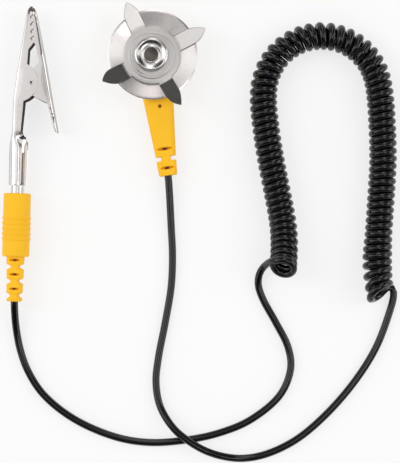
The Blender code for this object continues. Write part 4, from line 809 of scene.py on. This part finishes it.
clad(claw, claw_steel, painted_shadow_edge)
# Side faces beyond the flat ring take the painted shadow.
for face in claw.data.polygons:
    far = face.center.xy.length > CLAW_FLAT_RADIUS_MM * MM
    face.material_index = 1 if far and -0.8 < face.normal.z < 0.87 else 0
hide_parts("claw_plate")
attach(claw, "mat_stud")

# ---------------------------------------------------------------- stud rivet
# The hollow rivet that holds stud, disc and claw plate together: a domed bright head with a
# funnel round its bore, a tube through the stack and a rolled end under the stud.

eyelet_outline = [(2.1, 8.55), (2.14, 8.68), (2.26, 8.77), (2.42, 8.78), (2.56, 8.7), (2.66, 8.55),
                  (2.9, 8.48), (3.25, 8.52), (3.6, 8.63), (3.95, 8.8), (4.2, 8.93), (4.4, 8.98),
                  (4.62, 8.95), (4.85, 8.78), (5.03, 8.5), (5.15, 8.15), (5.15, 7.97), (5.05, 7.92),
                  (2.45, 7.9), (2.45, 2.52), (3.0, 2.5), (3.22, 2.4), (3.28, 2.25), (3.2, 2.14),
                  (3.0, 2.1), (2.45, 2.1), (2.2, 2.18), (2.1, 2.35)]
rivet_head = turned("stud_rivet", eyelet_outline, 128)
chrome = finish("polished_nickel", ((0.82, 0.81, 0.80), (0.76, 0.75, 0.74)), (0.2, 0.26),
                patch=260.0, grain=1800.0, bump=0.004, Metallic=1.0)
clad(rivet_head, chrome)
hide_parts("stud_eyelet")
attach(rivet_head, "mat_stud")

# ---------------------------------------------------------------- banana plug
# The grip is moulded in the same yellow vinyl, round, with five finger ribs and a stepped
# strain relief. A turned nickel pin stands in it and carries a lantern spring.

PLUG_FACE_MM, PLUG_HEADING = (-40.53, -41.49, 4.35), 88.4
GRIP_RADIUS_MM = 4.1
RIB_CENTRES_MM = [7.5 + 1.56 * rib for rib in range(5)]
RELIEF_START_MM, RELIEF_WIDE_MM, RELIEF_TAPER = 17.6, 2.7, 0.025
# Behind the face: distance, half width, half height and corner of the relief's sections.
RELIEF_SECTIONS_MM = [(RELIEF_START_MM, RELIEF_WIDE_MM, 2.45, 1.7)]
for notch in (22.2, 26.55, 30.9):
    wide = RELIEF_WIDE_MM - RELIEF_TAPER * (notch - RELIEF_START_MM)
    RELIEF_SECTIONS_MM += [
        (notch - 0.95, wide, 2.45, 1.7),
        (notch - 0.78, wide - 0.12, 2.4, 1.6),
        (notch - 0.66, wide - 0.5, 2.35, 1.3),
        (notch - 0.45, 1.45, 2.3, 1.0),
        (notch - 0.1, 1.15, 2.3, 0.85),
        (notch + 0.3, 1.35, 2.3, 0.9),
        (notch + 0.6, wide - 0.5, 2.35, 1.3),
        (notch + 0.75, wide - 0.12, 2.4, 1.6),
        (notch + 0.92, wide - 0.03, 2.45, 1.7),
    ]
RELIEF_SECTIONS_MM += [(32.2, 2.3, 2.4, 1.6), (32.45, 2.2, 2.3, 1.5), (32.6, 1.95, 2.0, 1.3)]
PLUG_POCKETS_MM = ((20.1, 1.7, 0.42), (24.4, 1.6, 0.42), (28.75, 1.5, 0.4))

plug_frame = Matrix.Translation(Vector(PLUG_FACE_MM) * MM) @ Matrix.Rotation(
    math.radians(PLUG_HEADING), 4, "Z")
lay_down = Matrix.Rotation(math.pi / 2, 4, "Y")

grip_outline = [(2.16, 0.02), (3.6, 0.0), (3.85, -0.06), (4.02, -0.22), (GRIP_RADIUS_MM, -0.5)]
for centre in RIB_CENTRES_MM:
    for step in range(9):
        share = (step - 4) / 4
        grip_outline.append((GRIP_RADIUS_MM + 0.25 * math.cos(share * math.pi / 2) ** 0.7,
                             -(centre + 0.5 * share)))
grip_outline += [(GRIP_RADIUS_MM, -18.5), (4.03, -18.8), (3.85, -19.02), (3.6, -19.1),
                 (2.0, -19.1), (2.0, -18.0), (2.16, -4.0)]
grip = moved(turned("yellow_plug_grip", grip_outline, 96), lay_down)
relief = grid_mesh("relief", [
    rounded_section(-at, w, h, c) for at, w, h, c in denser(RELIEF_SECTIONS_MM, 0.8)
])
combine(grip, "UNION", relief)
for at, reach, half in PLUG_POCKETS_MM:
    for side in (-1, 1):
        pocket = ball("pocket", (-at, 0.0, side * POCKET_RISE_MM), (half, reach, 1.6))
        combine(grip, "DIFFERENCE", pocket)
grip.data.set_sharp_from_angle(angle=math.radians(CREASE))
soften(grip, 0.1)
moved(grip, plug_frame)
clad(grip, yellow_vinyl)
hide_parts("plug_body")
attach(grip, "cord_set")

# The turned pin and its spring keep the frame's own shapes.
dress(nickel, "plug_pin")
dress(spring_steel, "pin_spring_cage")

# ---------------------------------------------------------------- crocodile clip, fixed jaw
# One piece of nickel-plated sheet, folded into a channel: a rolled barrel that grips the
# plug, a thumb rest, two ears for the rivet, and a jaw with meshing teeth. Places are along
# the plug from its face, and to the lever's side.

SHEET_MM, SHEET_CREASE = 0.45, 34.0
PIVOT_MM, RIVET_HOLE_RADIUS_MM = (33.3, 3.6), 0.72
BARREL_END_MM, CHANNEL_START_MM = 13.1, 18.8
BARREL_MM = ((2.5, 2.64), (3.0, 2.68), (8.0, 2.72), (11.5, 2.78), (BARREL_END_MM, 2.76))
BARREL_SEAM = 9.0
FIXED_BACK_MM = [(13.1, -2.66), (14.6, -2.42), (16.6, -2.0), (18.8, -1.79), (28.2, -1.72),
                 (53.6, 1.33), (54.8, 1.55), (55.8, 1.9), (56.5, 2.4)]
LEVER_BACK_MM = [(18.6, 11.6), (19.0, 11.72), (27.3, 10.0), (37.3, 8.0), (53.6, 4.57),
                 (54.6, 4.22), (55.4, 3.9), (55.95, 3.62)]


def smooth_run(*points):
    """Points of an outline along a smooth curve between two corners."""
    rows = smooth_line([(a, b, 0.0) for a, b in points], 0.3)
    return [(float(a), float(b)) for a, b, _ in rows]


TEETH_START_MM, TOOTH_STEP_MM, TOOTH_SWING_MM, CREST_MM = 45.4, 1.085, 0.48, 0.09


def teeth(shift):
    """The zigzag where the jaws mesh: four teeth, with slightly blunt crests."""
    line = []
    for step in range(9):
        along = TEETH_START_MM + TOOTH_STEP_MM * step
        middle = 3.45 - 0.55 * step / 8
        swing = TOOTH_SWING_MM if step % 2 == 0 else -TOOTH_SWING_MM
        line += [(along - CREST_MM, middle + 0.94 * swing + shift),
                 (along, middle + swing + shift),
                 (along + CREST_MM, middle + 0.94 * swing + shift)]
    return line


JAW_GAP_MM, FOLD_MM = 0.32, 0.85
FIXED_EDGE_MM = [
    (13.2, 2.62), (14.0, 2.5), (15.2, 2.32), (15.8, 2.0), (16.1, 1.4), (16.5, 1.3), (16.75, 1.7),
    (17.1, 1.75), (17.4, 1.15), (18.2, 0.85), (18.8, 0.78), (27.6, 1.42),
    *smooth_run((27.7, 1.46), (28.25, 2.6), (29.1, 3.7), (30.2, 4.7), (31.6, 5.35), (33.4, 5.6),
                (35.2, 5.35), (36.8, 4.7), (37.9, 3.7), (38.75, 2.25)),
    (38.8, 2.2), (43.3, 2.4), *teeth(0.0), (54.8, 2.9), (56.5, 3.05),
]
LEVER_EDGE_MM = [
    (18.6, 11.35), (19.0, 10.9), (27.3, 8.5),
    *smooth_run((27.35, 8.45), (28.1, 6.6), (29.1, 4.7), (30.3, 2.9), (31.7, 1.7), (33.3, 1.3),
                (34.9, 1.6), (36.3, 2.7), (37.6, 4.1), (38.7, 5.1), (39.7, 5.7)),
    (44.2, 4.6), *teeth(JAW_GAP_MM), (54.8, 2.9 + JAW_GAP_MM), (55.95, 2.95 + JAW_GAP_MM),
]
HALF_WIDTH_MM = [(13.1, 2.7), (18.8, 3.0), (27.0, 3.5), (37.0, 3.5), (54.2, 1.68), (54.8, 1.55),
                 (55.3, 1.35), (55.8, 1.05), (56.2, 0.75), (56.5, 0.4)]


def read(line, along):
    """How far out an outline stands at one place along it."""
    return float(np.interp(along, [p[0] for p in line], [p[1] for p in line]))


def fold_path(back, edge, half_width, fold, wall=5, corner=6, flat=5):
    """A channel's section as (side, up) points: up one wall, across the back, down the other."""
    inward = 1.0 if edge > back else -1.0
    half = [(edge + (back + inward * fold - edge) * i / (wall - 1), half_width)
            for i in range(wall)]
    for i in range(1, corner + 1):
        angle = math.radians(90.0 * i / (corner + 1))
        half.append((back + inward * fold * (1 - math.sin(angle)),
                     half_width - fold * (1 - math.cos(angle))))
    across = [(back, (half_width - fold) * (1 - 2 * i / (flat - 1))) for i in range(flat)]
    return half + across + [(side, -up) for side, up in half[::-1]]


def barrel_section(radius, count):
    """The barrel's section, open by a narrow seam on the lever's side."""
    angles = np.radians(BARREL_SEAM + (360.0 - 2 * BARREL_SEAM) * np.arange(count) / (count - 1))
    return [(radius * math.cos(a), radius * math.sin(a)) for a in angles]


def mix_paths(one, other, share):
    """A section part of the way from one shape to another."""
    return [tuple(a + (b - a) * share for a, b in zip(p, q)) for p, q in zip(one, other)]


def stations_of(*lines, step=0.6):
    """Every place where an outline changes, with more between them."""
    ends = sorted({round(p[0], 3) for line in lines for p in line})
    low = max(line[0][0] for line in lines)
    high = min(line[-1][0] for line in lines)
    kept = [at for at in ends if low <= at <= high]
    full = []
    for a, b in zip(kept, kept[1:]):
        count = max(1, round((b - a) / step))
        full += [a + (b - a) * i / count for i in range(count)]
    return [*full, kept[-1]]


def channel_sections(back_line, edge_line, half_width_at):
    """(place, outer path, inner path) at each station of a folded sheet."""
    sections = []
    for along in stations_of(back_line, edge_line):
        back, edge, half = read(back_line, along), read(edge_line, along), half_width_at(along)
        inward = 1.0 if edge > back else -1.0
        deep = abs(edge - back)
        fold = min(FOLD_MM, 0.7 * deep, 0.8 * half)
        thin = min(SHEET_MM, 0.5 * deep, 0.6 * half)
        outer = fold_path(back, edge, half, fold)
        inner = fold_path(back + inward * thin, edge, half - thin, max(0.05, fold - thin))
        sections.append((along, outer, inner))
    return sections


def ring_of(along, outer, inner):
    """One closed ring of the sheet's section: its outer path, then back along the inner."""
    return [(along, -side, up) for side, up in outer + inner[::-1]]


path_count = len(fold_path(0.0, 1.0, 1.0, 0.3))
fixed_rings = []
for along, radius in denser(BARREL_MM, 0.8):
    outer = barrel_section(radius, path_count)
    inner = barrel_section(radius - SHEET_MM, path_count)
    fixed_rings.append(ring_of(along, outer, inner))
for along, out_path, in_path in channel_sections(FIXED_BACK_MM, FIXED_EDGE_MM,
                                                 lambda at: read(HALF_WIDTH_MM, at)):
    share = min(1.0, (along - BARREL_END_MM) / (CHANNEL_START_MM - BARREL_END_MM))
    eased = share * share * (3 - 2 * share)
    fixed_rings.append(ring_of(along, mix_paths(outer, out_path, eased),
                               mix_paths(inner, in_path, eased)))
fixed_jaw = grid_mesh("clip_fixed_jaw_sheet", fixed_rings)
at_pivot = offset_mm(PIVOT_MM[0], -PIVOT_MM[1], 0)
drill(fixed_jaw, at_pivot, RIVET_HOLE_RADIUS_MM)
fixed_jaw.data.set_sharp_from_angle(angle=math.radians(SHEET_CREASE))
EDGE_TINT = (0.5, 0.5, 0.51, 1.0)
clip_nickel = finish("clip_nickel", ((0.82, 0.795, 0.785), (0.77, 0.745, 0.735)), (0.14, 0.2),
                     patch=120.0, grain=1500.0, bump=0.0, contrast=2.6, Metallic=1.0,
                     Specular_Tint=EDGE_TINT)
# A dark steel that paints shade inside the channel, at the jaws' tips, in holes and in the rivet's
# dimples, and one dark line on the barrel.
shade_painted_steel = finish("shade_painted_steel", ((0.22, 0.20, 0.18), (0.15, 0.135, 0.125)), (0.45, 0.6),
                    patch=200.0, grain=1500.0, bump=0.01, Metallic=1.0)


# The jaws' tips from here on take painted shade. One line along the barrel, so many degrees round
# from the lever's side, is painted dark too.
TIPS_FROM_MM, PAINTED_DARK_LINE, PAINTED_DARK_LINE_END_MM = 55.0, (50.0, 60.0), 12.6


def nickel_with_painted_shade(obj, *holes):
    """Nickel outside; painted shade inside, at the tips and in holes (along, side, radius); one
    line painted dark.
    """
    clad(obj, clip_nickel, shade_painted_steel)
    for face in obj.data.polygons:
        centre = face.center / MM
        inside = face.normal.z > 0.3 and centre.z < -0.5
        tip = centre.x > TIPS_FROM_MM and face.normal.x > 0.3
        hole = any(math.hypot(centre.x - a, centre.y + b) < r + 0.02 and face.normal.z < 0.9
                   for a, b, r in holes)
        turn = math.degrees(math.atan2(centre.z, -centre.y))
        line = centre.x < PAINTED_DARK_LINE_END_MM and PAINTED_DARK_LINE[0] < turn < PAINTED_DARK_LINE[1]
        face.material_index = 1 if inside or tip or hole or line else 0


nickel_with_painted_shade(fixed_jaw)
soften(fixed_jaw, 0.06, SHEET_CREASE)
moved(fixed_jaw, plug_frame)
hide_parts("clip_fixed_jaw")
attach(fixed_jaw, "clip")

# ---------------------------------------------------------------- crocodile clip, lever
# The second piece of the same sheet. Its ears run inside the fixed ears on the rivet, its
# tail ends in a thumb pad with two small holes and a slot, and its teeth mesh with the jaw's.

LEVER_INSIDE_MM, LEVER_NARROWS_MM = 3.5 - SHEET_MM - 0.08, 30
THUMB_HOLES_MM = ((25.6, 9.55, 0.36), (24.05, 9.95, 0.36))
THUMB_SLOT_MM, THUMB_SLOT_TURN = (22.3, -10.55), 12.0
THUMB_SLOT_RADIUS_MM, THUMB_SLOT_STRETCH = 0.34, 3.3


def lever_half_width(along):
    """The lever's ears run inside the jaw's, and its tip follows the jaw's outline."""
    if along <= LEVER_NARROWS_MM:
        return LEVER_INSIDE_MM
    return min(LEVER_INSIDE_MM, read(HALF_WIDTH_MM, along))


lever = grid_mesh("clip_lever_sheet", [
    ring_of(*section) for section in channel_sections(LEVER_BACK_MM, LEVER_EDGE_MM,
                                                      lever_half_width)
])
drill(lever, at_pivot, RIVET_HOLE_RADIUS_MM)
for along, side, radius in THUMB_HOLES_MM:
    drill(lever, offset_mm(along, -side, 0), radius, 0.5, 6, 20)
slot_frame = offset_mm(*THUMB_SLOT_MM, 0) @ Matrix.Rotation(math.radians(THUMB_SLOT_TURN), 4, "Z")
drill(lever, slot_frame @ Matrix.Diagonal((THUMB_SLOT_STRETCH, 1.0, 1.0, 1.0)),
      THUMB_SLOT_RADIUS_MM, segments=20)
lever.data.set_sharp_from_angle(angle=math.radians(SHEET_CREASE))
nickel_with_painted_shade(lever, *THUMB_HOLES_MM)
soften(lever, 0.05, SHEET_CREASE)
moved(lever, plug_frame)
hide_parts("clip_lever_jaw")
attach(lever, "clip_lever")

# ---------------------------------------------------------------- clip rivet and spring
# A steel rivet through both pairs of ears, with a punched dimple at each head, and round it
# the torsion spring that holds the jaws shut.

DIMPLE_RADIUS_MM = 0.33
rivet_outline = [(0.02, 2.3), (0.24, 2.3), (0.3, 2.5), (0.32, 3.48), (0.36, 3.55), (0.55, 3.58),
                 (0.66, 3.56), (0.71, 3.5), (0.71, 3.3)]
rivet_outline += [(r, -z) for r, z in rivet_outline[::-1]]
rivet = turned("clip_rivet_pin", rivet_outline, 48)
# The faces in the rivet's dimples take the painted shade.
clad(rivet, clip_nickel, shade_painted_steel)
for face in rivet.data.polygons:
    face.material_index = 1 if face.center.xy.length < DIMPLE_RADIUS_MM * MM else 0
moved(rivet, plug_frame @ at_pivot)
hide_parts("clip_rivet")
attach(rivet, "clip")


def wire(name, points, radius, around=12):
    """A round wire along a line of points in millimetres."""
    points = np.array(points, float)
    ahead = unit(np.gradient(points, axis=0))
    side = np.cross(ahead[0], (0.3, 0.2, 1.0))
    rings = []
    for point, way in zip(points, ahead):
        side = side - way * np.dot(side, way)
        side = side / np.linalg.norm(side)
        other = np.cross(way, side)
        turns = np.radians(360.0 * np.arange(around) / around)
        rings.append([tuple(point + radius * (math.cos(a) * side + math.sin(a) * other))
                      for a in turns])
    return grid_mesh(name, rings)


SPRING_WIRE_MM, SPRING_RADIUS_MM, SPRING_PITCH_MM = 0.5, 1.6, 0.95
SPRING_TURNS, COIL_POINTS, SPRING_LEGS_END_MM = 4, 97, 26.0
leg_seat = SHEET_MM + SPRING_WIRE_MM / 2 + 0.05
leg_along = SPRING_LEGS_END_MM - PIVOT_MM[0]
fixed_leg = (leg_along, PIVOT_MM[1] - read(FIXED_BACK_MM, SPRING_LEGS_END_MM) - leg_seat)
lever_leg = (leg_along, PIVOT_MM[1] - read(LEVER_BACK_MM, SPRING_LEGS_END_MM) + leg_seat)
# Where each straight leg leaves the coil.
leaves = [math.atan2(y, x) + turning * math.acos(SPRING_RADIUS_MM / math.hypot(x, y))
          for (x, y), turning in ((fixed_leg, -1), (lever_leg, 1))]
while leaves[1] > leaves[0] - math.tau * SPRING_TURNS:
    leaves[1] -= math.tau
rise = SPRING_PITCH_MM * (leaves[0] - leaves[1]) / math.tau / 2
coil = [(SPRING_RADIUS_MM * math.cos(a), SPRING_RADIUS_MM * math.sin(a), rise * z)
        for a, z in np.linspace((leaves[0], -1), (leaves[1], 1), COIL_POINTS)]


def leg(end, root):
    """A straight leg of the spring, from its end to where it meets the coil."""
    return [tuple(np.array(end) * (1 - t) + np.array(root) * t)
            for t in np.linspace(0, 1, 9)[:-1]]


spring_line = [*leg((*fixed_leg, -rise), coil[0]), *coil, *leg((*lever_leg, rise), coil[-1])[::-1]]
spring = wire("clip_torsion_spring", spring_line, SPRING_WIRE_MM / 2)
moved(spring, plug_frame @ at_pivot)
clad(spring, spring_steel)
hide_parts("clip_spring")
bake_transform(spring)
